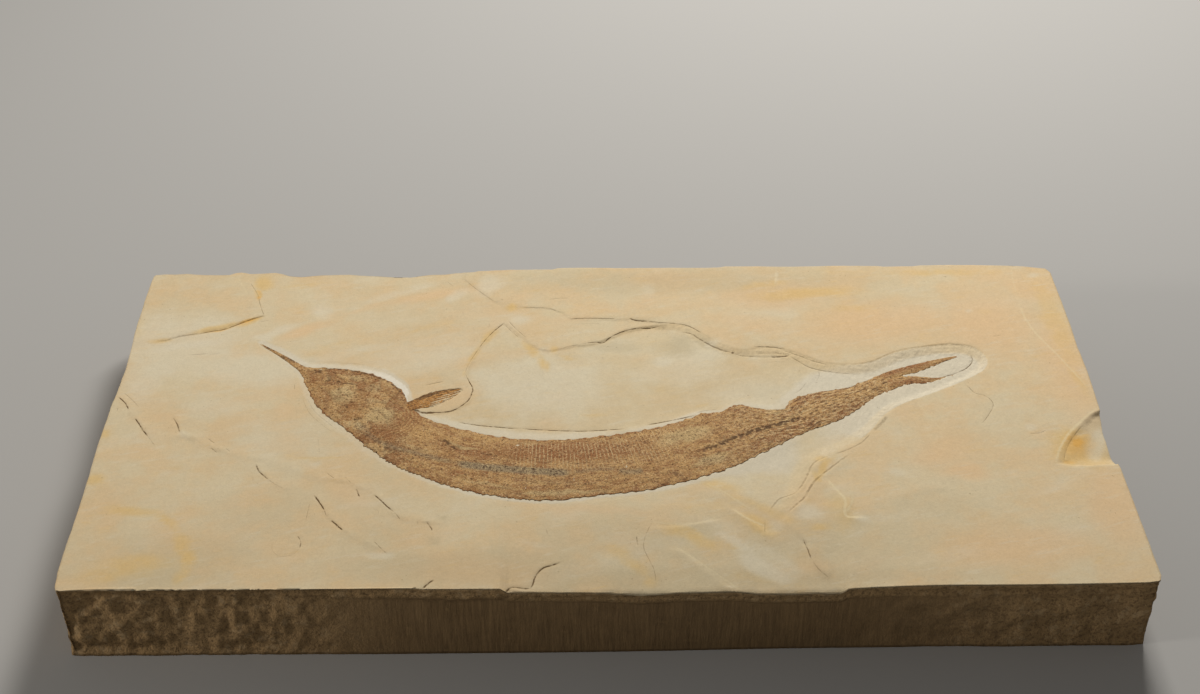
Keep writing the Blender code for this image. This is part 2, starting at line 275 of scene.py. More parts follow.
# %% The four edges of the face
BACK_EDGE = [
    (-402, 199), (-398, 203.5), (-390, 204.5), (-380, 204), (-370, 205.5), (-362, 204), (-355, 203),
    (-345, 202.4), (-332, 202), (-327, 205), (-322, 206), (-315, 204.5), (-305, 205), (-292, 206),
    (-285, 204), (-278, 201), (-268, 199.5), (-250, 201.5), (-225, 202), (-215, 200.5), (-200, 199.5),
    (-185, 198), (-170, 197.5), (-160, 200), (-150, 201.5), (-140, 201.5), (-130, 203.5), (-115, 204),
    (-110, 205.5), (-85, 207), (-60, 207.5), (-45, 207), (-40, 209), (-30, 209.5), (30, 208.5),
    (90, 208), (105, 208), (110, 209.5), (180, 209), (210, 209.6), (230, 209.7), (245, 209),
    (252, 207.5), (278, 208), (285, 209.5), (310, 209.7), (330, 209), (365, 208), (378, 206.5),
    (385, 205), (398, 203), (402, 199),
]
FRONT_EDGE = [
    (-403, -202.6), (-396, -203.6), (-340, -204.4), (-290, -204.2), (-224, -204.6), (-152, -204.5),
    (-87, -204.9), (-40, -205.2), (40, -205.3), (110, -205.2), (171, -205.0), (215, -204.6),
    (237, -204.3), (313, -205.0), (357, -204.4), (390, -204.2), (402, -202.6),
]
LEFT_EDGE = [
    (206, -399.2), (190, -400.2), (164, -400.5), (128, -400.9), (93, -399.6), (60, -399.1),
    (27, -400.4), (16, -401.6), (-15, -401.9), (-45, -402.2), (-74, -401.8), (-130, -402.3),
    (-156, -402.5), (-182, -402.3), (-199, -401.6), (-206, -400.0),
]
RIGHT_EDGE = [
    (206, 397.4), (198, 400.0), (191, 400.2), (154, 400.4), (118, 400.5), (83, 399.8), (49, 400.7),
    (16, 400.2), (-6, 399.2), (-15, 398.6), (-25, 397.4), (-40, 397.2), (-55, 397.0), (-68, 397.6),
    (-75, 399.1), (-113, 399.3), (-167, 399.7), (-198, 399.9), (-206, 398.0),
]
HALF_LENGTH = 400.0
HALF_DEPTH = 206.0
EDGE_REACH = 26.0


def edge_shift(place, edge, middle):
    """How far an edge stands from its straight middle line, at places along it."""
    knots = np.array(sorted(edge), float)
    return np.interp(place, knots[:, 0], knots[:, 1]) - middle


def to_outline(grid):
    """Bend a straight-sided rectangle of plan points to the block's own outline."""
    x, y = grid.T
    by_back = np.clip(1.0 - (HALF_DEPTH - y) / EDGE_REACH, 0.0, 1.0) ** 2
    by_front = np.clip(1.0 - (HALF_DEPTH + y) / EDGE_REACH, 0.0, 1.0) ** 2
    by_left = np.clip(1.0 - (HALF_LENGTH + x) / EDGE_REACH, 0.0, 1.0) ** 2
    by_right = np.clip(1.0 - (HALF_LENGTH - x) / EDGE_REACH, 0.0, 1.0) ** 2
    new_y = y + by_back * edge_shift(x, BACK_EDGE, HALF_DEPTH)
    new_y += by_front * edge_shift(x, FRONT_EDGE, -HALF_DEPTH)
    new_x = x + by_left * edge_shift(y, LEFT_EDGE, -HALF_LENGTH)
    new_x += by_right * edge_shift(y, RIGHT_EDGE, HALF_LENGTH)
    return np.column_stack([new_x, new_y])

# %% [markdown]
# ## Where the fish lies
# The fish decides the shape of the stone round it, so its own stations come first. A station is a
# cut across the animal: a point on its upper edge, a point on its lower edge, and how high the edge
# and the crown stand. The needle snout, the trunk, the two tail lobes and the fin are such strips.

# %% Stations along the fish
FACE_TOP = 65.0
BODY = [
    (-290.5, 98.5, -291.5, 97.8, 64.9, 65.2), (-278.0, 88.5, -280.0, 87.0, 65.0, 65.7),
    (-263.0, 76.5, -266.5, 73.5, 65.0, 66.0), (-251.0, 66.0, -256.0, 61.5, 65.0, 66.2),
    (-243.5, 64.0, -250.5, 52.0, 65.0, 66.3), (-229.0, 63.0, -245.5, 37.0, 65.2, 66.6),
    (-210.0, 60.0, -237.5, 18.0, 65.2, 66.9), (-193.0, 54.0, -227.0, 1.0, 65.2, 67.0),
    (-177.0, 43.0, -211.0, -16.0, 65.2, 67.0), (-166.0, 29.0, -195.0, -35.0, 65.2, 67.0),
    (-158.5, 10.0, -181.0, -50.0, 65.0, 67.0), (-148.0, -3.0, -169.0, -61.0, 65.0, 67.0),
    (-129.0, -14.0, -148.0, -75.5, 65.0, 67.0), (-104.0, -24.0, -117.0, -92.0, 65.0, 67.0),
    (-75.0, -32.0, -82.0, -103.0, 65.0, 67.0), (-42.0, -34.5, -45.0, -107.5, 65.0, 67.0),
    (-10.0, -31.5, -5.0, -102.0, 65.0, 67.0), (20.0, -25.0, 33.0, -95.5, 65.0, 66.9),
    (50.0, -16.5, 68.0, -83.5, 65.0, 66.7), (76.0, -3.5, 98.0, -69.5, 65.0, 66.5),
    (92.0, -0.5, 112.0, -60.0, 65.0, 66.3), (106.0, 9.0, 127.0, -49.5, 64.8, 66.1),
    (118.0, 6.0, 140.0, -39.5, 64.7, 66.1), (130.0, 3.0, 153.0, -30.5, 64.5, 66.0),
    (144.0, 4.5, 164.0, -24.0, 64.3, 65.8), (152.0, 16.5, 176.0, -17.5, 64.1, 65.6),
    (172.0, 26.0, 188.0, -10.0, 63.8, 65.3), (195.0, 31.5, 202.0, 2.0, 63.5, 64.9),
    (208.0, 37.5, 215.0, 14.0, 63.3, 64.7), (219.0, 44.0, 227.0, 24.5, 63.2, 64.6),
    (231.0, 51.0, 239.0, 32.5, 63.1, 64.4),
]
UPPER_LOBE = [
    (215.0, 41.5, 226.0, 34.0, 63.2, 64.1), (231.0, 52.0, 237.0, 42.5, 63.1, 64.2),
    (243.0, 58.0, 249.0, 49.5, 63.0, 64.1), (257.0, 63.5, 263.0, 54.5, 63.0, 64.0),
    (273.0, 69.0, 276.0, 62.5, 63.0, 63.9), (286.0, 73.0, 287.5, 69.5, 63.0, 63.6),
    (296.5, 75.6, 297.0, 74.4, 62.9, 63.3),
]
LOWER_LOBE = [
    (224.0, 40.0, 230.0, 24.0, 63.2, 64.1), (239.0, 46.5, 241.0, 33.0, 63.1, 64.2),
    (252.0, 48.0, 252.0, 36.5, 63.0, 64.0), (265.0, 46.5, 265.0, 38.0, 63.0, 63.9),
    (275.0, 45.5, 275.0, 41.5, 62.9, 63.6), (290.0, 49.6, 290.5, 48.9, 62.8, 63.0),
]
FIN = [
    (-166.0, 12.0, -160.0, 4.0, 65.0, 65.9), (-157.5, 18.0, -153.0, 6.5, 65.2, 66.0),
    (-148.0, 25.5, -143.5, 9.0, 65.2, 65.9), (-138.0, 30.8, -135.0, 13.5, 65.1, 65.7),
    (-127.5, 33.6, -125.5, 19.5, 65.0, 65.5), (-117.0, 34.9, -116.5, 29.5, 65.0, 65.3),
]
STRIPS = {"body": BODY, "upper_lobe": UPPER_LOBE, "lower_lobe": LOWER_LOBE, "fin": FIN}


def strip_outline(stations, count=150):
    """The closed outline of one strip, with the height of its edge: along its upper edge and back."""
    cuts = spaced(stations, np.linspace(0.0, 1.0, count))
    return np.vstack([cuts[:, (0, 1, 4)], cuts[::-1][:, (2, 3, 4)]])


def fish_distance(points, reach=40.0):
    """Distance to the fish's edge (negative within it), the edge's height, the same without the fin."""
    nearest, trunk = np.full(len(points), reach), np.full(len(points), reach)
    edge_height = np.full(len(points), FACE_TOP)
    for name, stations in STRIPS.items():
        outline = strip_outline(stations)
        gap, _, columns, _ = distance_to(points, outline, closed=True, reach=reach)
        signed = np.where(inside(points, outline), -gap, gap)
        closer = signed < nearest
        nearest[closer] = signed[closer]
        edge_height[closer] = columns[closer, 0]
        if name != "fin":
            trunk = np.minimum(trunk, signed)
    return nearest, edge_height, trunk


# %% [markdown]
# ## The beds, the hollow and the lost flake
# Limestone of this kind splits into flat beds. The topmost one, under a millimetre thick, is gone
# from most of the face. Whoever freed the fish then cut a hollow round it, shallow at the head
# and a steep-walled trench at the tail, and a flake is lost at the right end. The lists below follow
# the edges of all three. Each point also says how wide the slope is there. In the hollow and the
# flake it says how deep the floor lies. In the hollow a last number says how much of the drop is a
# steep lip and how strongly the wall is painted paler and warmer, painted light that offsets the
# shade the wall lies in.

# %% Edges where the face changes height
UPPER_BED = 0.6
MISSING_BED = [
    (-430, -240, 9), (168, -240, 9), (160, -196, 4), (150, -178, 4), (146, -156, 3),
    (130, -136, 3), (143, -113, 4), (152, -98, 4), (160, -78, 5), (150, -40, 9),
    (80, -20, 9), (60, 100, 9), (48, 124, 3), (25, 128.5, 1.6), (-28, 130.5, 1.5),
    (-35, 140, 2.5), (-47, 146, 3), (-82, 150.5, 5), (-96, 158, 6), (-122, 192, 5),
    (-134, 240, 6), (-322, 240, 8), (-313, 190, 4), (-299, 160, 2.5), (-293, 139, 1.6),
    (-310, 131, 1.6), (-328, 121, 2.2), (-352, 113.5, 4), (-372, 105, 7), (-430, 92, 12),
]
HOLLOW = [
    (-85, 125, 1.5, 0.6, 0.1), (-62, 96, 2, 0.6, 0.1), (-48, 86, 2, 0.7, 0), (-27, 92, 2, 0.9, 0.1),
    (-8, 96.5, 2.24, 1, 0.5), (4, 103.5, 2.24, 1.3, 0.5), (20, 115, 2.8, 1.5, 0.6),
    (38, 120, 3.75, 1.9, 0.8), (54, 122.5, 6.25, 1.9, 0.9), (70, 120, 8.75, 1.9, 0.7),
    (82, 110, 11.2, 2, 0.35), (92, 100, 11.2, 2, 0.25), (104, 89, 8.75, 2, 0.5),
    (118, 84, 7.5, 2, 0.55), (135, 88, 11.2, 2, 0.75), (152, 85, 11.2, 2, 0.85),
    (170, 74, 10, 2, 0.8), (185, 65.5, 10, 2, 0.7), (205, 62, 11.2, 2.5, 0.6),
    (222, 66, 11.2, 2.6, 0.45), (245, 79, 10, 2.6, 0.5), (268, 86, 10, 2.6, 0.65),
    (290, 90, 11.2, 2.6, 0.9), (306, 88, 11.2, 2.6, 0.9), (317, 79, 10, 2.6, 0.7),
    (321, 66, 8.75, 2.6, 0.4), (316, 53, 8.75, 2.6, 0.15), (303, 42, 7.5, 2.5, 0), (284, 30, 7.5, 2.5, 0),
    (262, 18, 7.5, 2.5, 0), (240, 6, 8.75, 2.4, 0.05), (224, -8, 8.75, 2.4, 0.35),
    (212, -26, 10, 2.3, 0.3), (196, -44, 12, 1.8, 0.25), (176, -56, 12, 1.9, 0.3),
    (162, -70, 15.4, 1.5, 0.4), (151, -92, 14, 1.2, 0.4), (140, -112, 8, 0.9, 0.35),
    (126, -122, 8, 0.5, 0.2), (108, -112, 16.8, 0.33, 0), (88, -98, 16.8, 0.44, 0),
    (68, -93, 9.8, 0.55, 0), (20, -105, 8.4, 0.55, 0), (-45, -114, 8.4, 0.55, 0),
    (-85, -109, 8.4, 0.55, 0), (-112, -101, 8.4, 0.55, 0), (-150, -82, 8.4, 0.55, 0),
    (-190, -50, 8.4, 0.55, 0), (-208, -29, 7, 0.55, 0.1), (-228, -8, 5.6, 0.55, 0.15),
    (-248, 30, 5.6, 0.55, 0.15), (-254, 48, 4.2, 0.55, 0.1), (-270, 71, 2.8, 0.55, 0),
    (-294, 98, 5.5, 0.6, 0), (-295, 104, 5.5, 0.6, 0), (-285, 101, 5.5, 0.6, 0), (-262, 83, 5.5, 0.75, 0),
    (-246, 75, 5.5, 0.9, 0), (-222, 72, 5.5, 0.98, 0.1), (-197, 66, 5.5, 0.98, 0.3),
    (-178, 56, 5.5, 0.98, 0.1), (-164, 43, 5.5, 0.98, 0), (-156, 30, 5.5, 0.98, 0),
    (-160, 20, 5.5, 0.75, 0), (-166, 8, 2, 1, 0), (-156, -4, 2, 0.8, 0.2), (-140, 1, 1.5, 0.8, 0.5),
    (-124, 5, 1.2, 0.8, 0.6), (-113, 14, 1, 0.8, 0.6), (-108.5, 30, 1, 0.8, 0.6), (-115, 50, 1, 0.8, 0.5),
    (-107, 85, 1.2, 0.6, 0.3), (-98, 105, 1.2, 0.6, 0.3),
]
LOST_FLAKE = [
    (424, 8, 2, 9.5), (398, -3, 3, 7.0), (386, -12, 5, 5.0), (376, -24, 6, 3.8),
    (366, -36, 6, 3.0), (357, -51, 6, 2.4), (351, -63, 6, 2.0), (350, -71, 5, 2.2),
    (362, -73.5, 4, 3.0), (380, -72.5, 3, 5.0), (398, -71.5, 3, 7.5), (424, -71, 3, 9.5),
]


# %% [markdown]
# A hollow needs four things at a point: how far within its rim that point is, how wide the slope
# is there, how deep the floor lies, and what else the rim's own table says. The floor's depth is a
# mean of the depths round the rim, in which the nearest count most.

# %% Read a hollow's table at any point
def depth_from_rim(points, rim):
    """Distance within a hollow's rim (negative outside), the slope's width, the floor's depth and
    the rim's own columns, at each point."""
    line = curve_through(rim, step=5.0, closed=True)
    gap, _, columns, _ = distance_to(points, line, closed=True)
    within = inside(points, line)
    wall = columns[:, 0]
    stops = np.array(rim, float)
    floor = np.zeros(len(points))
    chosen = np.nonzero(within)[0]
    offsets = points[chosen, None, :] - stops[None, :, :2]
    weights = 1.0 / ((offsets ** 2).sum(2) + 30.0) ** 1.5
    floor[chosen] = (weights * stops[:, 3]).sum(1) / weights.sum(1)
    signed = np.where(within, gap, -gap)
    return signed, wall, floor, columns


# %% [markdown]
# ## Cracks, bed edges and old tool marks
# The face carries about a hundred fine lines. Dark lines are cracks and painted shade along bed
# edges and the trench's lip. A pale one is a thin bed's fresh edge, painted paler still as a
# highlight where the edge faces the light, as on the lost flake's lip. Each entry gives how dark it
# is (below zero for pale), its half width, how far the side on its left stands up, and its course.
# Scarps are the low steps between thin beds, which have a raised side but no line of their own.

# %% Fine lines on the face
LINES = [
    # the bed edge at the left end of the back
    (0.32, 1.15, 0.0, [(-380, 103), (-372, 104), (-360, 110), (-345, 114)]),
    (0.62, 0.75, 0.0, [(-348, 112), (-336, 117), (-325, 120), (-310, 130), (-300, 136), (-292, 139.5)]),
    (0.41, 0.43, 0.0, [(-293, 139), (-297, 150), (-300, 160), (-301, 166)]),
    (0.28, 0.5, 0.2, [(-301, 166), (-305, 176), (-312, 190)]),
    (0.37, 0.43, 0.0, [(-296, 130), (-288, 133)]),
    (0.26, 0.5, 0.0, [(-352, 83), (-342, 84), (-332, 85)]),
    (0.2, 0.43, 0.0, [(-334, 83), (-322, 86)]),
    (-0.35, 0.85, 0.0, [(-325, 200), (-318, 185), (-312, 172)]),
    # round the apex
    (0.30, 0.5, 0.1, [(-123, 193), (-112, 178), (-95, 157)]),
    (0.23, 0.43, 0.0, [(-138, 190), (-132, 182)]),
    (0.37, 0.5, 0.0, [(-70, 148.5), (-58, 148), (-47, 146.5), (-38, 141)]),
    (-0.5, 0.77, 0.0, [(-34, 140), (-29, 132)]),
    (0.64, 0.58, 0.0, [(-29, 131), (-15, 131.5), (0, 131), (12, 130)]),
    (0.78, 0.79, 0.0, [(22, 131), (28, 128), (38, 126.5)]),
    (0.37, 0.58, 0.0, [(38, 126.5), (52, 123.5)]),
    (0.28, 0.5, 0.0, [(-48, 160), (-38, 162), (-30, 162)]),
    (0.69, 0.5, 0.25, [(-85, 127), (-91, 119), (-97, 109), (-102, 99), (-106, 89)]),
    (0.35, 0.43, 0.2, [(-106, 89), (-110, 78), (-114, 66), (-116, 55)]),
    (0.9, 0.62, 0.0, [(-116, 54), (-112, 43), (-109.5, 36), (-109, 30), (-112, 18), (-119, 9),
                       (-126, 4), (-136, 2.5), (-148, 3)]),
    (0.41, 0.43, 0.0, [(-82, 129), (-75, 117), (-66, 104)]),
    (0.37, 0.43, 0.0, [(-85, 124), (-78, 113), (-72, 105)]),
    (0.32, 0.5, 0.0, [(-36, 88), (-30, 91), (-22, 93.5)]),
    (0.87, 0.54, 0.0, [(-20, 94.5), (-9, 97), (-1, 97.5), (4, 103), (11, 109), (20, 114.5), (30, 117.5),
                       (40, 118.5), (50, 121)]),
    (0.51, 0.65, 0.0, [(44, 124), (56, 123.5), (68, 121), (76, 116), (84, 107)]),
    (0.51, 0.86, 0.0, [(66, 112), (74, 109), (82, 100), (92, 90), (101, 84), (108, 81)]),
    (0.92, 1.58, 0.0, [(107, 81.5), (109, 80.8)]),
    (0.46, 0.5, 0.0, [(109, 80), (117, 77), (132, 75.5), (142, 75.5)]),
    (0.87, 0.72, 0.0, [(139, 75.5), (148, 75.5), (155, 76)]),
    (0.46, 0.58, 0.0, [(155, 76), (162, 69), (170, 61), (180, 56), (192, 53), (206, 51)]),
    (0.51, 0.58, 0.0, [(124, 87), (134, 87.5), (144, 86.5), (152, 84)]),
    (0.41, 0.65, 0.0, [(150, 83), (162, 76), (174, 68), (186, 62)]),
    (0.28, 0.43, 0.0, [(128, 80), (140, 80), (150, 79)]),
    (0.28, 0.43, 0.0, [(178, 56), (177, 47), (174, 41)]),
    (0.26, 0.43, 0.0, [(166, 40), (160, 30), (155, 25)]),
    (-0.4, 1.02, 0.0, [(155, 202), (154, 190), (152, 180)]),
    # the trench round the tail and the thread beyond it
    (0.69, 0.58, 0.0, [(276, 45), (285, 48.5), (294, 53), (302, 59), (308, 68), (308, 77)]),
    (0.2, 0.9, 0.0, [(206, 61), (224, 66), (240, 77), (254, 83), (274, 87), (290, 89), (306, 87.5),
                     (315, 81)]),
    (0.41, 0.4, 0.0, [(295, 36), (298, 29), (302, 21), (309, 17.5), (313, 12), (314, 5), (310, -4),
                       (304, -14), (299, -20)]),
    (-0.3, 1.02, 0.1, [(252, 12), (256, 0), (260, -12), (268, -28)]),
    (0.3, 1.6, 0.0, [(226, -8), (220, -18), (212, -27)]),
    (0.28, 0.65, 0.0, [(210, -30), (202, -41), (190, -50), (178, -56)]),
    (0.42, 1.2, 0.0, [(192, -54), (180, -66), (170, -76), (159, -89), (153, -100), (149, -108), (141, -117),
                      (134, -125)]),
    (0.32, 1.0, 0.0, [(177, -56), (161, -66), (152, -86), (143, -101), (130, -108), (120, -125)]),
    # the right end
    (-0.55, 1.19, 0.0, [(363, 152), (363, 130), (367, 108), (373, 90), (381, 70), (388, 50), (397, 24)]),
    (-0.3, 0.85, 0.0, [(366, 205), (364, 185), (363, 160)]),
    (0.28, 0.43, 0.0, [(331, 100), (337, 101)]),
    (-0.8, 1.36, 0.0, [(400, 2), (388, -9), (377, -21), (367, -33), (358, -48), (352, -62), (349, -72)]),
    (0.32, 0.5, 0.0, [(385, -17), (376, -28), (367, -41), (360, -55), (356, -68)]),
    (-0.6, 1.02, 0.0, [(352, -74), (366, -74.5), (382, -73.5), (399, -72)]),
    (-0.22, 1.02, 0.15, [(258, -100), (300, -90), (350, -78)]),
    (0.32, 0.43, 0.0, [(336, -32), (344, -31.5), (350, -28)]),
    # the left end and the lower left
    (0.95, 0.6, 0.1, [(-397, 26), (-390, 17), (-386, 9)]),
    (0.32, 0.43, 0.0, [(-394, 32), (-384, 20), (-378, 12)]),
    (1.0, 0.62, 0.15, [(-379, -2), (-374, -10), (-370, -17), (-364, -26)]),
    (0.28, 0.43, 0.1, [(-364, -26), (-357, -37)]),
    (0.7, 0.6, 0.15, [(-348, -2), (-343, -12), (-340, -21)]),
    (-0.5, 1.19, 0.0, [(-338, -20), (-330, -29)]),
    (0.41, 0.43, 0.0, [(-316, -29), (-310, -35)]),
    (0.51, 0.43, 0.0, [(-312, -41), (-306, -47)]),
    (0.37, 0.43, 0.0, [(-300, -42), (-296, -46)]),
    (1.0, 0.65, 0.15, [(-274, -61), (-272, -67), (-269, -72), (-262, -80)]),
    (0.23, 0.43, 0.1, [(-262, -80), (-256, -86), (-249, -91)]),
    (1.0, 0.65, 0.2, [(-225, -98), (-220, -107), (-215, -117)]),
    (0.41, 0.43, 0.1, [(-215, -117), (-213, -123)]),
    (0.95, 0.65, 0.15, [(-209, -128), (-203, -135), (-199, -140)]),
    (0.85, 0.58, 0.1, [(-193, -92), (-190, -101)]),
    (0.37, 0.43, 0.0, [(-218, -72), (-211, -80)]),
    (0.28, 0.36, 0.0, [(-203, -78), (-198, -85)]),
    (0.28, 0.36, 0.0, [(-227, -108), (-228, -130)]),
    (0.28, 0.36, 0.0, [(-256, 42), (-255, 34)]),
    (0.18, 0.36, 0.0, [(-229, -30), (-226, -48)]),
    (0.51, 0.5, -0.3, [(-232, -145), (-229, -152), (-229, -159)]),
    (0.18, 0.36, -0.2, [(-229, -159), (-234, -166), (-243, -167), (-249, -160), (-250, -151)]),
    # the lower middle
    (1.0, 0.6, 0.2, [(-179, -99), (-174, -105), (-168, -113), (-162, -120)]),
    (0.37, 0.43, 0.1, [(-162, -120), (-157, -128)]),
    (0.64, 0.65, 0.1, [(-137, -131), (-134, -136), (-132, -141)]),
    (0.37, 0.5, 0.1, [(-175, -152), (-169, -160), (-164, -166)]),
    (0.87, 0.72, 0.4, [(-136, -204), (-132, -198), (-128, -194)]),
    (0.87, 0.72, 0.0, [(-77, -205), (-71, -200), (-64, -201), (-58, -201)]),
    (0.87, 0.65, 0.5, [(-58, -202), (-56, -195), (-55, -190), (-52, -184), (-48, -180), (-42, -177.5),
                      (-36, -174.5)]),
    (0.28, 0.36, 0.0, [(-47, -140), (-46, -145)]),
    # thin beds at the lower right
    (-0.55, 1.19, 0.2, [(74, -88), (88, -99), (98, -110), (109, -121)]),
    (-0.45, 1.36, 0.2, [(28, -131), (46, -135), (70, -134), (87, -124)]),
    (-0.65, 1.36, 0.2, [(94, -118), (100, -127), (108, -133), (118, -139)]),
    (-0.45, 0.94, 0.15, [(46, -157), (62, -172), (78, -188), (96, -206)]),
    (-0.8, 1.5, 0.2, [(168, -84), (174, -98), (180, -111), (178, -128), (188, -131), (195, -131)]),
    (-0.6, 1.2, 0.0, [(185, -99), (185.5, -111), (179, -126)]),
    (0.46, 0.5, 0.1, [(20, -148), (21, -158)]),
    (0.25, 0.5, 0.1, [(117, -134), (116, -146)]),
    (0.55, 0.58, 0.1, [(144, -153), (146, -162), (148, -173)]),
    (0.28, 0.58, 0.1, [(149, -176), (153, -184), (159, -191)]),
    (0.29, 0.43, 0.1, [(33, -132), (28, -144), (25, -158), (28, -170), (32, -182), (33, -197)]),
    # along the fish
    (0.8, 0.6, 0.0, [(-119, -10), (-105, -13.5), (-90, -16), (-70, -18.5)]),
    (0.75, 0.6, 0.0, [(-72, -18), (-50, -20.5), (-20, -22.5), (5, -21), (18, -20)]),
    (0.9, 0.75, 0.0, [(32, -15.5), (45, -12), (60, -8), (73, -4)]),
    (0.32, 0.58, 0.0, [(73, -1), (80, 2), (90, 3)]),
    (0.2, 0.36, 0.0, [(-243, 22), (-236, 6), (-224, -9), (-214, -20)]),
    (0.18, 0.36, 0.0, [(-247, 22), (-240, 4), (-229, -11), (-217, -24)]),
    (0.46, 0.43, 0.0, [(-148, 38.5), (-141, 41), (-133, 43.5)]),
    (1.0, 1.3, 0.0, [(-138, 2), (-148, 2), (-154, 5), (-160, 4)]),
    (-0.3, 0.8, 0.1, [(-196, 62), (-178, 56), (-152, 52), (-132, 56), (-121, 64), (-116, 76)]),
    (-0.25, 0.8, 0.1, [(-240, 22), (-232, 2), (-218, -14), (-204, -30), (-188, -46)]),
    (0.16, 0.4, 0.0, [(-222, 70), (-208, 69), (-195, 66)]),
]
# Low scarps without a line of their own: how high each is, and its course, which keeps the raised
# side on its left.
SCARPS = [
    (0.5, [(-398, 27), (-384, 6), (-370, -16), (-360, -29)]),
    (0.45, [(-360, -29), (-334, -28), (-309, -42.6), (-287, -52), (-275, -55.6), (-250, -66)]),
    (0.45, [(-262, -60), (-225.5, -78.5), (-210, -82), (-198, -86), (-178, -100)]),
    (0.35, [(-276, -58), (-268, -74), (-251, -91), (-236, -96)]),
    (0.5, [(-225, -98), (-214.8, -118.4), (-199.6, -139.6), (-184, -152.5), (-161, -167)]),
    (0.5, [(-182, -96), (-172, -110), (-159, -125.5), (-142, -131), (-124, -133)]),
    (0.4, [(-346, 0), (-342, -14), (-336, -24), (-322, -32)]),
    (0.6, [(192, -53.5), (170, -76.4), (158.6, -88.7), (149, -108.5), (134.4, -125.3)]),
    (0.45, [(177, -56), (161, -66), (152, -86), (143, -101), (129.5, -108), (120, -125)]),
    (0.6, [(195, -131), (187.7, -131), (177.8, -128.5), (179, -111), (173.6, -99), (167.6, -84)]),
    (0.4, [(178, -131), (185.2, -111.4), (185, -99), (180, -88)]),
    (0.6, [(128, -156), (119.7, -146.5), (108, -134), (96, -122), (84, -112)]),
    (0.45, [(142, -158), (146, -168), (150, -181), (158.6, -193)]),
    (0.6, [(93, -207), (77, -192), (58.7, -171), (44, -158)]),
    (0.45, [(91, -129.6), (76.5, -133), (60.6, -136), (44, -139), (24, -138)]),
    (0.35, [(214, -112), (236, -104), (262, -98)]),
]

# %% [markdown]
# Only lines that cross need care, because a point can keep one distance for each layer. So the
# lines are shared out among three layers, in which neighbours never meet. A dark line also cuts a
# shallow groove, and a raised side lifts the face behind it until the lift fades out.

# %% Work out what the lines leave on the stone
LINE_REACH = 9.0
GROOVE_DEPTH = 0.45
LIFT_FADE = 14.0
SCARP_SHARE = 1.7
SCARP_SOFTNESS = 1.5
LINE_SOFTNESS = 0.8


def share_out(lines, layer_count=3):
    """Put each line in a layer whose other lines are well away from it."""
    layers = [[] for _ in range(layer_count)]
    for entry in lines:
        course = curve_through(entry[3], step=1.5)
        room = []
        for layer in layers:
            gaps = [distance_to(course, other[1])[0].min() for other in layer]
            room.append(min(gaps, default=99.0))
        layers[int(np.argmax(np.minimum(room, 2.0 * LINE_REACH)))].append((entry, course))
    return layers


LINE_LAYERS = share_out(LINES)
print("fine lines in each layer:", [len(layer) for layer in LINE_LAYERS])


def scarp(gap, side, ends, raised, softness):
    """A low step up on the left of a course, which fades out behind it."""
    step = 0.5 + 0.5 * np.tanh(gap * side / softness)
    return raised * ends * step * np.clip(1.0 - gap / LIFT_FADE, 0.0, 1.0) ** 2


def line_marks(points):
    """For each layer of lines the signed distance and the darkness, then the lift and the groove."""
    sides = np.full((len(points), 3), LINE_REACH)
    marks = np.zeros((len(points), 3))
    lift = np.zeros(len(points))
    groove = np.zeros(len(points))
    for number, layer in enumerate(LINE_LAYERS):
        nearest = np.full(len(points), LINE_REACH)
        for (dark, half_width, raised, _), course in layer:
            reach = LINE_REACH if raised == 0.0 else 2.0 * LIFT_FADE
            gap, side, _, travel = distance_to(points, course, reach=reach)
            ends = soft_step(np.minimum(travel, 1.0 - travel), -0.02, 0.16)
            closer = gap < nearest
            nearest[closer] = gap[closer]
            sides[closer, number] = (gap * side / half_width)[closer]
            fade = 1.0 - soft_step(gap, 0.45 * LINE_REACH, 0.9 * LINE_REACH)
            marks[closer, number] = (dark * ends * fade)[closer]
            groove += GROOVE_DEPTH * max(dark, 0.0) * ends * np.exp(-(gap / (half_width + 0.5)) ** 2)
            if raised:
                lift += scarp(gap, side, ends, raised, LINE_SOFTNESS)
    for raised, course in SCARPS:
        gap, side, _, travel = distance_to(points, curve_through(course, step=2.0), reach=2.0 * LIFT_FADE)
        ends = soft_step(np.minimum(travel, 1.0 - travel), -0.02, 0.16)
        gap = np.maximum(gap + 1.2 * cloud(points, 7.0, 83.0) * side, 0.0)
        lift += scarp(gap, side, ends, SCARP_SHARE * raised, SCARP_SOFTNESS)
    return np.clip(sides, -LINE_REACH, LINE_REACH), marks, lift, groove

# %% [markdown]
# ## The stone's mesh
# One grid of 4 mm cells makes the face. Cells near a line are halved, and those beside a wall or a
# crack are halved again, so the triangles go where the relief is.

# %% Grid, refined near the lines
CELL = 4.0
SEAT_DEPTH = 6.4
EDGE_STANDS = 0.15
SHELF_WIDTH = 7.0
FAINT = 0.3
COARSE_REACH, FINE_REACH = 5.0, 1.6


def flat_places(faces):
    """The plan places of some bmesh faces' middles, as an array."""
    return np.array([face.calc_center_median().xy for face in faces])


def near_any(points, reach, fine):
    """True for points near something that needs small cells."""
    wanted = np.zeros(len(points), bool)
    for (dark, half_width, _, _), course in sum(LINE_LAYERS, []):
        if fine and abs(dark) < FAINT:
            continue
        gap, _, _, _ = distance_to(points, course, reach=reach + half_width)
        wanted |= gap < reach + half_width
    for table in (HOLLOW, LOST_FLAKE):
        rim = curve_through(table, step=6.0, closed=True)
        gap, _, columns, _ = distance_to(points, rim, closed=True)
        wanted |= np.where(inside(points, rim), gap - columns[:, 0], gap) < reach
    edge, _, _ = fish_distance(points)
    wanted |= (edge > -reach) & (edge < 1.5 * reach)
    return wanted & (edge > -reach)


def halve_cells(bm, chosen):
    """Halve the cells for which chosen is true."""
    edges = {edge for face, wanted in zip(bm.faces, chosen) if wanted for edge in face.edges}
    bmesh.ops.subdivide_edges(bm, edges=list(edges), cuts=1, use_grid_fill=True)


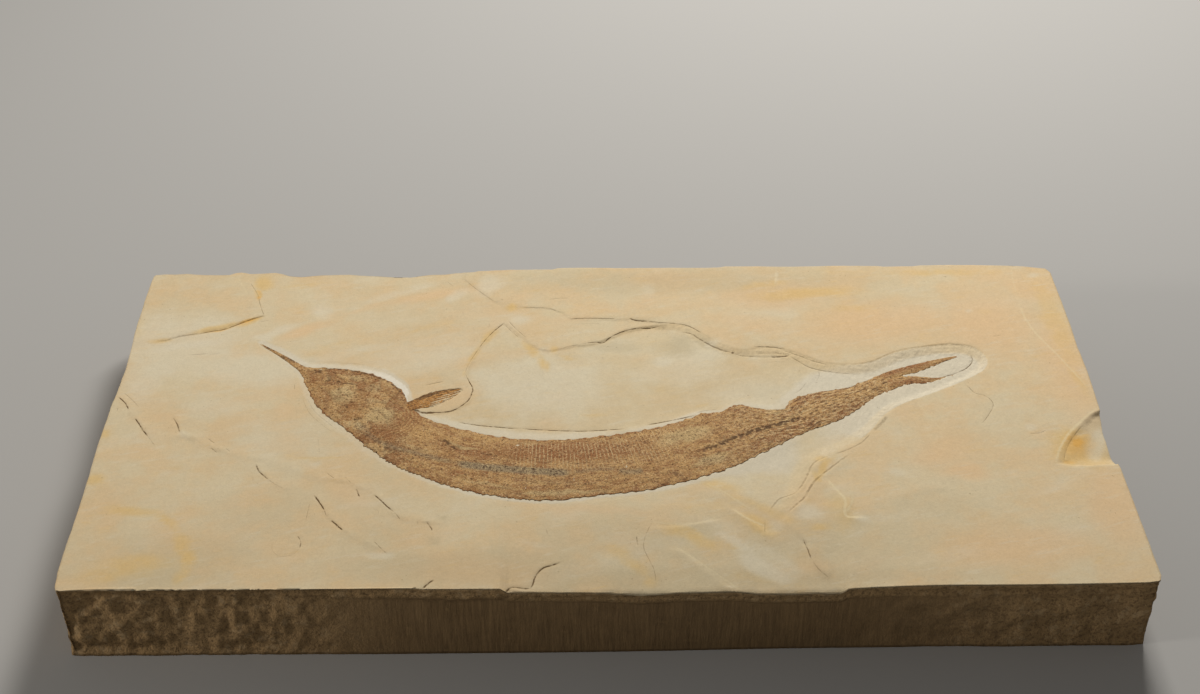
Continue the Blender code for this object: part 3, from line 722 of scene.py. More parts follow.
stone_mesh = bmesh.new()
bmesh.ops.create_grid(stone_mesh, x_segments=round(2 * HALF_LENGTH / CELL),
                      y_segments=round(2 * HALF_DEPTH / CELL), size=1.0)
bmesh.ops.scale(stone_mesh, verts=stone_mesh.verts, vec=(HALF_LENGTH, HALF_DEPTH, 1.0))
middles = flat_places(stone_mesh.faces)
by_rim = (np.abs(middles[:, 0]) > HALF_LENGTH - CELL) | (middles[:, 1] > HALF_DEPTH - CELL)
by_rim |= middles[:, 1] < 3.0 * CELL - HALF_DEPTH
halve_cells(stone_mesh, by_rim | near_any(to_outline(middles), COARSE_REACH, False))
middles = flat_places(stone_mesh.faces)
halve_cells(stone_mesh, near_any(to_outline(middles), FINE_REACH, True))
print("cells in the face:", len(stone_mesh.faces))

# %% [markdown]
# The rim is drawn down in rows to make the four sides. The rows are low under the rim, where the
# stone rolls over, and taller toward the floor. The last one is filled to make the flat underside.

# %% Sides and underside
SIDE_ROWS = [1.0, 1.4, 1.6, 1.8, 1.9, 1.9, 2.0, 2.0, 2.1, 2.2, 2.3, 2.4]
SIDE_ROWS += [3.0] * 9 + [3.1, 3.1, 3.2, 3.0, 3.0]

for vert in stone_mesh.verts:
    vert.co.z = FACE_TOP
bmesh.ops.recalc_face_normals(stone_mesh, faces=stone_mesh.faces)
hem = [edge for edge in stone_mesh.edges if edge.is_boundary]
for row in SIDE_ROWS:
    drawn = bmesh.ops.extrude_edge_only(stone_mesh, edges=hem)["geom"]
    hem = [item for item in drawn if isinstance(item, bmesh.types.BMEdge)]
    lowered = [item for item in drawn if isinstance(item, bmesh.types.BMVert)]
    bmesh.ops.translate(stone_mesh, verts=lowered, vec=(0.0, 0.0, -row))
bmesh.ops.contextual_create(stone_mesh, geom=hem)
bmesh.ops.recalc_face_normals(stone_mesh, faces=stone_mesh.faces)

# %% [markdown]
# ## Heights on the face
# A height is a sum: the face, the top bed where it is left, less the hollow, the lost flake and the
# grooves, plus the gentle swell that every split bed has. The bed of the fish is sunk under it.

# %% Work out the height of every place on the face
def face_height(points, details):
    """Height above the underside at each plan point, with what was found there kept in details."""
    bed_line = np.array(MISSING_BED, float)
    gap, _, slope, _ = distance_to(points, bed_line, closed=True)
    gap += 1.1 * cloud(points, 5.0, 3.0) + 0.9 * cloud(points, 17.0, 4.0)
    outside = np.where(inside(points, bed_line), -gap, gap)
    kept_bed = soft_step(outside, -0.5 * slope[:, 0], 0.5 * slope[:, 0])
    height = FACE_TOP + UPPER_BED * kept_bed
    height += 0.28 * cloud(points, 85.0, 7.0) + 0.13 * cloud(points, 30.0, 8.0)
    height += 0.05 * cloud(points, 9.0, 9.0)

    sunk, wall, floor, columns = depth_from_rim(points, HOLLOW)
    uneven = sunk + 0.7 * cloud(points, 3.5, 12.0) + 0.9 * cloud(points, 11.0, 13.0)
    lip = 0.3 * columns[:, 2]
    down = lip * soft_step(uneven, -0.4, 1.2) + (1.0 - lip) * soft_step(uneven, -0.4, 1.2 * wall)
    chisel = np.abs(cloud(points, 4.2, 15.0)) + 0.5 * np.abs(cloud(points, 2.4, 16.0))
    deep = soft_step(floor, 1.3, 3.0) * soft_step(sunk, 0.0, 2.0)
    height -= floor * down
    height += deep * (0.75 * chisel - 0.3)
    on_wall = soft_step(uneven, -1.0, 0.8) * (1.0 - soft_step(uneven, 0.75 * wall, wall + 1.5))
    # The wall mark says where the wall is painted paler and warmer: painted light that offsets its shade.
    details["wall"] = columns[:, 2] * on_wall
    details["inner"] = soft_step(sunk, -2.0, 10.0)
    details["deep"] = deep

    sunk, wall, floor, _ = depth_from_rim(points, LOST_FLAKE)
    uneven = sunk + 0.7 * cloud(points, 6.0, 18.0)
    down = soft_step(uneven, 0.0, wall)
    height -= floor * (0.35 * down + 0.65 * soft_step(uneven, -0.5, 2.5 * wall + 8.0))
    height -= 0.3 * down * np.abs(cloud(points, 14.0, 19.0, (1.0, 0.5)))

    sides, marks, lift, groove = line_marks(points)
    height += lift - groove
    details["sides"] = sides
    details["marks"] = marks

    edge, edge_height, trunk = fish_distance(points)
    beside = edge_height - EDGE_STANDS
    near_fish = np.exp(-(np.maximum(edge, 0.0) / SHELF_WIDTH) ** 2)
    height += near_fish * np.maximum(beside - height, 0.0)
    height -= (height - FACE_TOP + SEAT_DEPTH) * soft_step(-edge, 1.0, 2.4)
    details["fish_gap"] = trunk
    return height


# %% [markdown]
# ## The broken sides
# Splitting leaves shallow scallops with sharp ridges between them, and thin beds that stand out as
# level ribs. A Voronoi cell has just that shape: a bowl that ends in a ridge. The front differs. It
# was sawn, so its middle is flat, under a bruised lip. The face also sags toward it, over a hand's
# breadth, before it rolls over. The tables below hold the whole profile of the front.

# %% The front's profile
# Along the front: set back at the rim, drop of the rim, height of the lip's foot, how far the lip
# overhangs the sawn face, set back at the floor.
FRONT_PROFILE = [
    (-403, 2.4, 0.0, 62.0, 0.0, 0.4), (-384, 2.6, 0.0, 62.0, 0.0, 0.4), (-342, 3.0, 0.0, 60.0, 0.2, 0.5),
    (-332, 4.9, 0.0, 58.0, 0.3, 0.5), (-314, 4.4, 0.0, 58.0, 0.4, 0.5), (-286, 3.5, 0.0, 58.0, 0.5, 0.5),
    (-258, 3.0, 0.0, 57.0, 0.6, 0.5), (-202, 2.7, 0.0, 56.0, 0.7, 0.6), (-147, 2.5, 0.0, 53.5, 1.0, 0.6),
    (-134, 1.0, 0.0, 53.0, 1.3, 0.7), (-92, 0.8, 0.0, 53.5, 1.4, 0.9), (-80, 0.7, 0.0, 55.0, 1.4, 1.0),
    (-75, 0.5, 3.4, 56.0, 1.4, 1.0), (-34, 0.5, 3.9, 56.5, 1.4, 1.2), (-6, 0.5, 4.7, 57.0, 1.4, 1.4),
    (22, 0.5, 7.8, 57.0, 1.4, 1.6), (50, 0.5, 5.3, 57.0, 1.3, 2.0), (78, 0.5, 5.0, 57.0, 1.2, 2.4),
    (92, 0.5, 5.0, 56.0, 1.1, 2.6), (108, 0.5, 7.4, 54.0, 1.0, 2.8), (134, 0.5, 7.6, 54.0, 0.9, 3.0),
    (148, 0.5, 7.3, 54.5, 0.8, 3.0), (167, 0.5, 8.2, 55.0, 0.7, 2.9),
    (172, 0.4, 3.5, 60.0, 0.5, 2.8), (190, 0.3, 2.3, 62.0, 0.3, 2.7), (204, 0.2, 1.7, 63.0, 0.1, 2.6),
    (222, 0.1, 1.3, 63.5, 0.0, 2.5), (289, 0.1, 1.3, 63.0, 0.0, 2.3), (386, 0.3, 1.0, 62.0, 0.0, 1.6),
    (403, 0.3, 0.6, 62.0, 0.0, 1.4),
]
# How far the face sags toward its front edge, and over what width; the rest of the drop rolls over.
SAG = [
    (-92, 0.4), (-76, 2.4), (-60, 3.0), (0, 4.2), (22, 6.2), (60, 4.5), (92, 4.3), (108, 6.3),
    (134, 6.4), (148, 6.1), (166, 7.0), (176, 3.0), (190, 2.2), (230, 1.2),
]
SAG_WIDTH = 88.0
ROLL_WIDTH = 3.6
# Along the front near its left end: the height of a small ledge, and how far it stands out.
LEDGE = [
    (-396, 36, 0.0), (-390, 40, 1.2), (-379, 44, 2.4), (-372, 51, 2.6), (-366, 57, 2.6), (-350, 58, 2.6),
    (-341, 57.5, 2.6), (-337, 57, 1.5), (-333, 56, 0.0),
]
THIN_BEDS = [(62.6, 0.9, 31.0), (59.6, -0.8, 37.0), (56.2, 1.0, 43.0), (52.5, -0.7, 53.0), (47.0, 0.6, 59.0)]

# %% [markdown]
# A place on a side is found from its outline by standing it back: by the profile, then by bowls,
# by ribs and by plain noise. Stone is only ever taken away, so nothing leaves the outline.

# %% How far each side stands back
END_TAPER = 2.4
SIDE_ROUGHNESS = 3.4
RIGHT_END_SHARE = 0.75


def noise_at(places, size, shift=(0.0, 0.0, 0.0)):
    """Smooth noise from 0 to 1 at each place in space."""
    moved = (places + np.array(shift)) / np.array(size)
    return np.fromiter((0.5 + 0.5 * noise.noise(place) for place in moved), float, len(moved))


def scallops_at(places, size, shift=(0.0, 0.0, 0.0)):
    """Bowls with sharp ridges between them, 0 on the ridges to 1 in the bowls."""
    moved = (places + np.array(shift)) / np.array(size)
    moved += 0.35 * noise_at(places, np.array(size) * 0.8, (5.0, 0.0, 0.0))[:, None]
    nearest = np.fromiter((noise.voronoi(place)[0][0] for place in moved), float, len(moved))
    return np.clip(1.0 - 1.35 * nearest ** 2, 0.0, 1.0)


def front_profile(x):
    """The five numbers of the front's profile at each place along it."""
    table = np.array(FRONT_PROFILE, float)
    return [np.interp(x, table[:, 0], column) for column in table[:, 1:].T]


def front_set_back(places):
    """How far the front stands back from the outline at each place."""
    x, z = places[:, 0], places[:, 2]
    rim, drop, lip_foot, overhang, foot = front_profile(x)
    top = FACE_TOP - drop
    below = foot + (rim + overhang - foot) * np.clip(z / lip_foot, 0.0, 1.0)
    lip = rim * (0.7 + 0.3 * np.clip((z - lip_foot) / np.maximum(top - lip_foot, 2.0), 0.0, 1.0))
    on_lip = soft_step(z - lip_foot + 2.0 * (noise_at(places, (9.0, 9.0, 90.0)) - 0.5), -0.8, 0.8)
    depth = below + (lip - below) * on_lip

    ledge = np.array(LEDGE, float)
    level = np.interp(x, ledge[:, 0], ledge[:, 1]) + 1.5 * (noise_at(places, 6.0, (0.0, 0.0, 80.0)) - 0.5)
    depth += np.interp(x, ledge[:, 0], ledge[:, 2], 0.0, 0.0) * soft_step(z - level, -0.7, 0.7)
    hackly = soft_step(-x, 150.0, 270.0)
    rough_end = soft_step(x, 120.0, 290.0)
    fade = 1.0 - 0.9 * np.clip(z / top, 0.0, 1.0) ** 14
    small = scallops_at(places, 7.0)
    relief = hackly * (2.6 * scallops_at(places, (15.0, 15.0, 20.0)) + 2.2 * small - 0.9)
    relief += rough_end * 2.4 * (scallops_at(places, (32.0, 32.0, 17.0), (9.0, 0.0, 0.0)) - 0.3)
    relief += rough_end * 0.9 * (small - 0.4)
    relief += (0.3 + 0.5 * rough_end) * (noise_at(places, 13.0) + 0.5 * noise_at(places, 5.0) - 0.75)
    for height, amount, shift in THIN_BEDS:
        wander = height + 2.6 * (noise_at(places, (34.0, 34.0, 900.0), (shift, 0.0, 0.0)) - 0.5)
        strength = amount * soft_step(noise_at(places, (40.0, 40.0, 900.0), (0.0, shift, 0.0)), 0.35, 0.6)
        relief += 2.0 * rough_end * strength * soft_step(z - wander, -0.5, 0.5)
    relief += 2.2 * on_lip * soft_step(overhang, 0.2, 0.8) * (scallops_at(places, (9.0, 9.0, 4.0)) - 0.35)
    relief += 0.9 * hackly * (1.0 - soft_step(z, 10.0, 13.0))
    relief *= 0.3 + 0.7 * soft_step(z, 1.0, 9.0)
    return depth + fade * relief, relief


def side_set_back(places, facing):
    """How far the side stands back from the outline at each place, and how much of that is bowls."""
    rise = np.clip(places[:, 2] / FACE_TOP, 0.0, 1.0)
    front = facing[:, 1] < -0.7
    end = np.abs(facing[:, 0]) > 0.7
    rough = SIDE_ROUGHNESS * (1.0 - 0.85 * rise ** 6) * np.where(facing[:, 0] > 0.7, RIGHT_END_SHARE, 1.0)
    depth = 0.5 * rough * (noise_at(places, 38.0) + 0.5 * noise_at(places, 14.0, (300.0, 0.0, 0.0)) - 0.6)
    bowls = 0.8 * scallops_at(places, (28.0, 28.0, 19.0)) + 0.45 * scallops_at(places, 9.0)
    depth += rough * bowls
    depth += 1.2 * (noise_at(places, (50.0, 50.0, 3.2), (0.0, 0.0, 40.0)) - 0.45)
    depth += np.where(end, END_TAPER * (1.0 - rise) ** 2, 0.0)
    chosen = np.nonzero(front)[0]
    set_back, relief = front_set_back(places[chosen])
    depth[chosen] = np.where(end[chosen], 0.4, 1.0) * set_back
    bowls[chosen] = relief / 3.0
    depth[chosen] += np.where(end[chosen], END_TAPER * (1.0 - rise[chosen]) ** 2 + 0.8, 0.0)
    return np.maximum(depth, 0.0), bowls


# %% [markdown]
# Now every vertex can go to its place. The plan place gives the height, the height and the side
# it faces give how far it stands back. What was found on the way is kept for the material.

# %% Put every place of the stone where it belongs
SAG_CURVE, ROLL_CURVE = 1.6, 1.8
ROLL_WANDER = 1.6


def shape_stone(bm):
    """Move the stone's vertices to their real places and return what was found at each."""
    rest = np.array([vert.co for vert in bm.verts])
    on_face = rest[:, 2] > FACE_TOP - 0.01
    x, y = rest[:, 0], rest[:, 1]
    facing = np.column_stack([
        np.where(np.abs(x) > HALF_LENGTH - 0.01, np.sign(x), 0.0),
        np.where(np.abs(y) > HALF_DEPTH - 0.01, np.sign(y), 0.0),
    ])
    facing /= np.maximum(np.hypot(*facing.T), 1.0)[:, None]
    plan = to_outline(rest[:, :2])
    details = {}
    height = face_height(plan, details)
    from_front = plan[:, 1] + HALF_DEPTH - edge_shift(x, FRONT_EDGE, -HALF_DEPTH)
    drop = front_profile(plan[:, 0])[1]
    sag = np.minimum(drop, np.interp(plan[:, 0], *np.array(SAG, float).T))
    height -= sag * np.clip(1.0 - from_front / SAG_WIDTH, 0.0, 1.0) ** SAG_CURVE
    wandering = from_front + ROLL_WANDER * cloud(plan, 7.0, 80.0)
    rolled = np.clip(1.0 - wandering / ROLL_WIDTH, 0.0, 1.0) ** ROLL_CURVE
    height -= (drop - sag) * rolled
    height[~on_face] = rest[~on_face, 2] / FACE_TOP * height[~on_face]
    on_rim = np.hypot(*facing.T) > 0.5
    back, details["bowl"] = np.zeros(len(plan)), np.zeros(len(plan))
    set_back, bowls = side_set_back(np.column_stack([plan, height])[on_rim], facing[on_rim])
    back[on_rim] = set_back
    details["bowl"][on_rim] = np.clip(bowls, 0.0, 1.0)
    places = np.column_stack([plan - PLAN_CENTRE - facing * back[:, None], height])
    places[:, 2] = np.where(rest[:, 2] < 0.01, 0.0, places[:, 2])
    for vert, place in zip(bm.verts, places * MM):
        vert.co = place
    details["plan"] = plan
    down = FACE_TOP - rest[:, 2]
    # Where the rim rolls over most, the face takes the broken sides' colour, which carries their painted
    # shade.
    chipped = 0.6 * soft_step((drop - sag) * rolled, 1.6, 3.2)
    details["broken"] = np.maximum(np.where(on_rim, soft_step(down, -0.5, 1.5), 0.0), chipped)
    details["marks"] *= (1.0 - soft_step(down, 0.5, 4.0))[:, None]
    sawn = (1.0 - soft_step(-x, 130.0, 260.0)) * (1.0 - soft_step(x, 150.0, 330.0))
    details["sawn"] = sawn * (facing[:, 1] < -0.7) * soft_step(down, 8.0, 12.0)
    return details


stone_details = shape_stone(stone_mesh)
print("stone vertices:", len(stone_mesh.verts))

# %% [markdown]
# ## The fish's mesh
# Bone and scale are rougher than the stone, and everything on them runs along or across the body.
# So each strip is a grid whose two directions are those of the animal, bent to its stations. The
# grids wait side by side while their edges are drawn down to make a skirt, which ends in the stone.
# Underneath, the skirt's two long edges are bridged straight across, and the two ends are filled.

# %% Grids for the four strips
STRIP_CELLS = {"body": (820, 70), "upper_lobe": (84, 13), "lower_lobe": (76, 15), "fin": (60, 22)}
WAITING_GAP = 10.0
SKIRT_INSET = (0.0, 0.7, 2.8)
SKIRT_DROP = (0.0, 1.3)
FISH_BASE = 59.0

fish_mesh = bmesh.new()
for number, (name, (along_cells, across_cells)) in enumerate(STRIP_CELLS.items()):
    made = bmesh.ops.create_grid(fish_mesh, x_segments=along_cells, y_segments=across_cells, size=1.0)
    bmesh.ops.translate(fish_mesh, verts=made["verts"], vec=(number * WAITING_GAP, 0.0, 0.0))
bmesh.ops.recalc_face_normals(fish_mesh, faces=fish_mesh.faces)
hem = [edge for edge in fish_mesh.edges if edge.is_boundary]
for _ in SKIRT_DROP:
    drawn = bmesh.ops.extrude_edge_only(fish_mesh, edges=hem)["geom"]
    hem = [item for item in drawn if isinstance(item, bmesh.types.BMEdge)]
    lowered = [item for item in drawn if isinstance(item, bmesh.types.BMVert)]
    bmesh.ops.translate(fish_mesh, verts=lowered, vec=(0.0, 0.0, -1.0))
for number, (along_cells, _) in enumerate(STRIP_CELLS.values()):
    middle, reach = number * WAITING_GAP, 1.0 - 1.0 / along_cells
    long_edges = [edge for edge in hem if all(
        abs(vert.co.x - middle) < reach and abs(vert.co.y) > 0.99 for vert in edge.verts)]
    bmesh.ops.bridge_loops(fish_mesh, edges=long_edges)
open_ends = [edge for edge in fish_mesh.edges if edge.is_boundary]
bmesh.ops.holes_fill(fish_mesh, edges=open_ends, sides=0)
print("fish vertices:", len(fish_mesh.verts))

# %% [markdown]
# ## What shows on the fish
# Tall scales stand in rows along the flank, a grey speckled band follows the side line, the skull
# is a mosaic of golden bones, and the edges are ragged and darker. The marks are listed as short
# lines and as soft patches. A patch is a middle, two radii, a turn in degrees and a strength.

# %% Bands and patches on the fish
GREY_BAND = [
    (1.0, 4.6, [(-118, -64), (-95, -69), (-60, -74), (-28, -77)]),
    (0.45, 3.6, [(-28, -76), (-8, -73), (8, -72)]), (0.6, 4.5, [(8, -74), (18, -76), (28, -74)]),
    (0.55, 3.6, [(-202, -8), (-186, -30), (-170, -42), (-150, -51), (-118, -64)]),
    (0.3, 4.5, [(-75, -84), (-45, -88), (-19, -89)]), (0.35, 4.0, [(66, -60), (82, -62), (98, -58)]),
]
DARK_BAND = [
    (1.0, 2.9, [(71, -52), (87, -44), (101, -35), (115, -27), (136, -18), (158, -8)]),
    (0.4, 2.0, [(160, -6), (176, 3), (190, 9), (204, 16)]),
    (0.8, 1.4, [(-242, 63.5), (-225, 61.5), (-208, 58), (-192, 52), (-178, 42), (-166, 28), (-161, 18)]),
    (0.75, 1.5, [(-226, 44), (-215, 41), (-205, 38)]), (0.5, 1.5, [(-172, 24), (-168, 19), (-163, 17)]),
    (0.55, 1.8, [(-206, -10), (-192, -26), (-176, -42), (-160, -50)]),
    (0.85, 2.6, [(-130, -34), (-124, -41), (-116, -47)]),
    (0.45, 1.2, [(-116, -47), (-90, -55), (-60, -62), (-30, -66), (10, -62), (36, -54)]),
    (0.65, 2.6, [(50, -76), (56, -81), (63, -86)]), (0.55, 1.4, [(10, -24), (22, -34), (34, -43)]),
    (0.6, 1.6, [(238, 44), (252, 44.5), (264, 44), (274, 43.5)]),
    (0.75, 1.3, [(219, 43), (222, 48), (230, 52), (240, 56)]),
    (0.5, 1.6, [(110, -55), (125, -47), (140, -38)]),
]
FISH_PATCHES = {
    "red": [(-30, -50, 66, 15, 2, 0.9), (-106, -51, 24, 7, -22, 0.8), (18, -45, 30, 17, 10, 0.45),
            (130, -34, 30, 8, 38, 0.7), (-226, 14, 4, 8, 25, 0.5), (-241, 46, 4, 7, 20, 0.6),
            (-172, 4.5, 5, 4, 0, 0.8), (-213, 55, 19, 4, -15, 0.6), (-190, 41, 6, 5, -40, 0.6),
            (-116, -75, 6, 5, 0, 0.7), (165, 18, 22, 7, 35, 0.8), (250, 58, 30, 5, 25, 0.9),
            (256, 38, 18, 6, 0, 0.9), (106, 1, 11, 5, -20, 0.7), (-190, -45, 14, 4, -45, 0.5),
            (196, -2, 24, 6, 35, 1.0), (150, -26, 30, 8, 36, 0.8), (-138, 22, 18, 5, 25, 0.8)],
    "gold": [(-236, 30, 9, 14, 15, 0.8), (-196, 2, 22, 18, -30, 0.7), (-186, -8, 14, 9, -30, 0.6),
             (-215, 44, 18, 6, -15, 0.5), (-150, -24, 25, 12, -30, 0.7),
             (-100, -31, 26, 5, -20, 0.9), (78, -75, 17, 4, 25, 1.0), (177, 8, 30, 7, 35, 1.0),
             (215, 29, 20, 7, 40, 1.0), (240, 46, 20, 3, 15, 0.8), (-149, 17, 8, 4, 40, 0.9),
             (-178, -34, 5, 6, 0, 0.9), (-100, -86, 26, 5, -14, 0.5),
             (188, -13, 5, 7, 20, 1.0), (30, -30, 26, 4, 12, 0.6), (-192, 28, 7, 6, 0, 0.6)],
    "tan": [(-214, 25, 11, 12, -20, 1.0), (-182, -4, 13, 13, 0, 1.0), (63, -31, 25, 10, 22, 1.0),
            (81, -62, 18, 5, 25, 0.9), (-112, -44, 13, 2.5, -22, 0.8), (-36, -99, 42, 3, 2, 0.8),
            (-160, -36, 8, 8, 0, 0.4), (137, 0.5, 8, 5, 25, 1.0), (10, -38, 10, 4, 10, 0.4),
            (-205, 48, 12, 4, -20, 0.7), (-190, 34, 7, 6, 30, 0.8), (-228, 48, 8, 5, -30, 0.5),
            (-175, -14, 12, 8, -30, 0.5), (-200, -14, 10, 6, -45, 0.6), (-150, -45, 16, 3, -28, 0.6),
            (-90, -90, 30, 3, -14, 0.6), (-60, -40, 20, 3, -6, 0.4), (150, -8, 22, 3, 35, 0.6),
            (-190, 16, 9, 7, 0, 0.6)],
    "dark": [(-238, 57, 5, 4, -40, 0.8), (-175, -45, 12, 4, -30, 0.6), (-212, 12, 5, 3, -20, 0.6),
             (-199, -9, 5, 5, 0, 0.6), (-262, 74, 14, 2, -40, 0.9), (-282, 91, 10, 1.5, -42, 0.9),
             (-161, 12, 5, 4, 0, 0.5), (178, -4, 18, 2.5, 30, 0.4), (-54, -107, 12, 1.8, 0, 0.8),
             (222, 30, 14, 3, 45, 0.4), (-192, 4, 4, 3, 40, 0.5), (13, -27, 9, 3.5, 4, 0.5)],
    "white": [(-70.5, -41.5, 2.2, 1.3, 20, 1.0), (14.6, -70, 1.3, 1.5, 0, 1.0), (-26.4, -84, 0.9, 4, 10, 0.8),
              (-63.4, -94, 1.2, 1.8, 0, 0.8), (-200, 5, 1.2, 2, 0, 0.6), (-236, 60, 4, 1.2, -20, 0.7)],
}
ROWS_FROM, ROWS_TO = -82.0, 62.0
ROW_PITCH = 3.1
ARCS = [(-180.0, -2.0, 3.0, 12.0, 36.0, 1.0), (-205.0, 30.0, 3.4, 8.0, 26.0, 0.6)]
TOOTH_PITCH = 3.7
TOOTH_LENGTH = 1.5
FIN_RAY_PITCH = 2.4
CROWN_LIMIT = 67.2
CROWN_ROOM = 0.35


def patches(points, listed, wander=3.0, size=12.0):
    """The strongest of some soft patches at each point, their edges made to wander."""
    x = points[:, 0] + wander * cloud(points, size, 30.0)
    y = points[:, 1] + wander * cloud(points, size, 40.0)
    strongest = np.zeros(len(points))
    for middle_x, middle_y, long, wide, turn, strength in listed:
        cos, sin = math.cos(math.radians(turn)), math.sin(math.radians(turn))
        ahead = ((x - middle_x) * cos + (y - middle_y) * sin) / long
        aside = ((y - middle_y) * cos - (x - middle_x) * sin) / wide
        strongest = np.maximum(strongest, strength * np.exp(-(ahead ** 2 + aside ** 2) ** 1.3))
    return strongest


def bands(points, listed):
    """The strongest of some soft-edged bands at each point."""
    strongest = np.zeros(len(points))
    for strength, half_width, course in listed:
        line = curve_through(course, step=2.0)
        gap, _, _, travel = distance_to(points, line, reach=3.0 * half_width)
        ends = soft_step(np.minimum(travel, 1.0 - travel), -0.05, 0.1)
        strongest = np.maximum(strongest, strength * ends * np.exp(-(gap / half_width) ** 2.4))
    return strongest


# %% [markdown]
# Bending is the reverse of measuring. A vertex knows how far along its strip it is and how far
# across, so the stations give its plan place, and a dome from edge to crown gives its height. The
# edge is ragged, with small teeth along the belly under the head.

# %% Bend the grids to their stations
JAG_LIMIT = 1.9
DOME_ROUNDNESS = 2.6


def edge_jag(edge, travelled, across, lower_x, number):
    """How far the ragged edge of a strip stands out or in, with teeth along the belly."""
    jag = 1.1 * cloud(edge, 9.3, 50.0) + 1.6 * rough_cloud(edge, 4.7, 51.0, 3)
    tooth = 1.0 - (travelled / TOOTH_PITCH + 0.6 * cloud(edge, 9.0, 52.0)) % 1.0
    belly = soft_step(lower_x, -218.0, -200.0) * (1.0 - soft_step(lower_x, -60.0, -30.0))
    belly *= (across < 0.0) & (number == 0)
    return np.maximum(jag, -JAG_LIMIT) + TOOTH_LENGTH * belly * (tooth - 0.5)


def shape_fish(bm):
    """Move the fish's vertices to their real places and return what was found at each."""
    rest = np.array([vert.co for vert in bm.verts])
    strip_number = np.round(rest[:, 0] / WAITING_GAP).astype(int)
    ring = np.round(-rest[:, 2]).astype(int)
    lengthwise = (rest[:, 0] - strip_number * WAITING_GAP + 1.0) / 2.0
    across = rest[:, 1].copy()
    count = len(rest)
    plan, along, aside = np.zeros((count, 2)), np.zeros(count), np.zeros(count)
    edge_height, crown_height, half_widths = np.zeros(count), np.zeros(count), np.zeros(count)
    inset = np.array(SKIRT_INSET)[ring]
    for number, stations in enumerate(STRIPS.values()):
        mine = strip_number == number
        even = spaced(stations, np.linspace(0.0, 1.0, 400))
        spine = (even[:, 0:2] + even[:, 2:4]) / 2.0
        run = np.append(0.0, np.cumsum(np.hypot(*np.diff(spine, axis=0).T)))
        share = lengthwise[mine]
        share = np.clip(share, inset[mine] / run[-1], 1.0 - inset[mine] / run[-1])
        cuts = spaced(stations, share)
        half = (cuts[:, 0:2] - cuts[:, 2:4]) / 2.0
        half_width = np.hypot(*half.T)
        reach = across[mine] * np.maximum(1.0 - inset[mine] / half_width, 0.3)
        travelled = np.interp(share, np.linspace(0.0, 1.0, 400), run)
        edge = (cuts[:, 0:2] + cuts[:, 2:4]) / 2.0 + half * np.sign(across[mine])[:, None]
        jag = edge_jag(edge, travelled, across[mine], cuts[:, 2], number)
        jag *= np.clip(half_width / 12.0, 0.15, 1.0)
        jag *= np.sign(across[mine]) * np.abs(across[mine]) ** 10 / half_width
        plan[mine] = (cuts[:, 0:2] + cuts[:, 2:4]) / 2.0 + half * (reach + jag)[:, None]
        along[mine] = travelled + 1000.0 * number
        aside[mine] = half_width * reach
        edge_height[mine] = cuts[:, 4]
        crown_height[mine] = cuts[:, 5] - CROWN_ROOM
        half_widths[mine] = half_width
    details = {"plan": plan, "along": along, "aside": aside}
    details.update(fish_marks(plan, along, aside, across, half_widths, strip_number, lengthwise))
    dome = (1.0 - np.abs(across) ** DOME_ROUNDNESS) * (1.0 - np.abs(2.0 * lengthwise - 1.0) ** 60)
    height = edge_height + (crown_height - edge_height) * dome
    height += details["rise"] * np.clip(4.0 * (1.0 - np.abs(across)), 0.25, 1.0)
    height = np.minimum(height, CROWN_LIMIT)
    height = np.where(ring == 1, edge_height - SKIRT_DROP[1], height)
    height = np.where(ring == 2, FISH_BASE, height)
    places = np.column_stack([plan - PLAN_CENTRE, height]) * MM
    for vert, place in zip(bm.verts, places):
        vert.co = place
    return details


# %% [markdown]
# The marks share the relief: a seam between two bones is both a dark line and a groove, and a row
# of scales is both a pale stripe and a ridge. So both are worked out together, at each vertex.

# %% Work out the marks and the fine relief of the fish
def mosaic(points, size):
    """A random tone from -1 to 1 for each of many irregular bones, and how near a seam is."""
    warped = points + 3.2 * np.column_stack([cloud(points, 6.0, 74.0), cloud(points, 6.0, 75.0)])
    tone, seam = np.zeros(len(points)), np.zeros(len(points))
    for index, (x, y) in enumerate(warped / size):
        distances, middles = noise.voronoi((x, y, 0.0))
        tone[index] = noise.noise(middles[0] * 5.3)
        seam[index] = distances[1] - distances[0]
    return np.clip(2.0 * tone, -1.0, 1.0), 1.0 - soft_step(seam, 0.0, 0.22)


def arcs_at(points):
    """Fine growth rings round a few middles, 0 to 1."""
    strongest = np.zeros(len(points))
    for x, y, pitch, from_radius, to_radius, strength in ARCS:
        radius = np.hypot(points[:, 0] - x, points[:, 1] - y) + 1.2 * cloud(points, 6.0, 76.0)
        within = soft_step(radius, from_radius, from_radius + 4.0)
        within *= 1.0 - soft_step(radius, to_radius - 6.0, to_radius)
        within *= soft_step(points[:, 0] - x - points[:, 1] + y, -6.0, 14.0)
        ring = 0.5 - 0.5 * np.cos(2.0 * math.pi * radius / pitch)
        strongest = np.maximum(strongest, strength * within * ring)
    return strongest


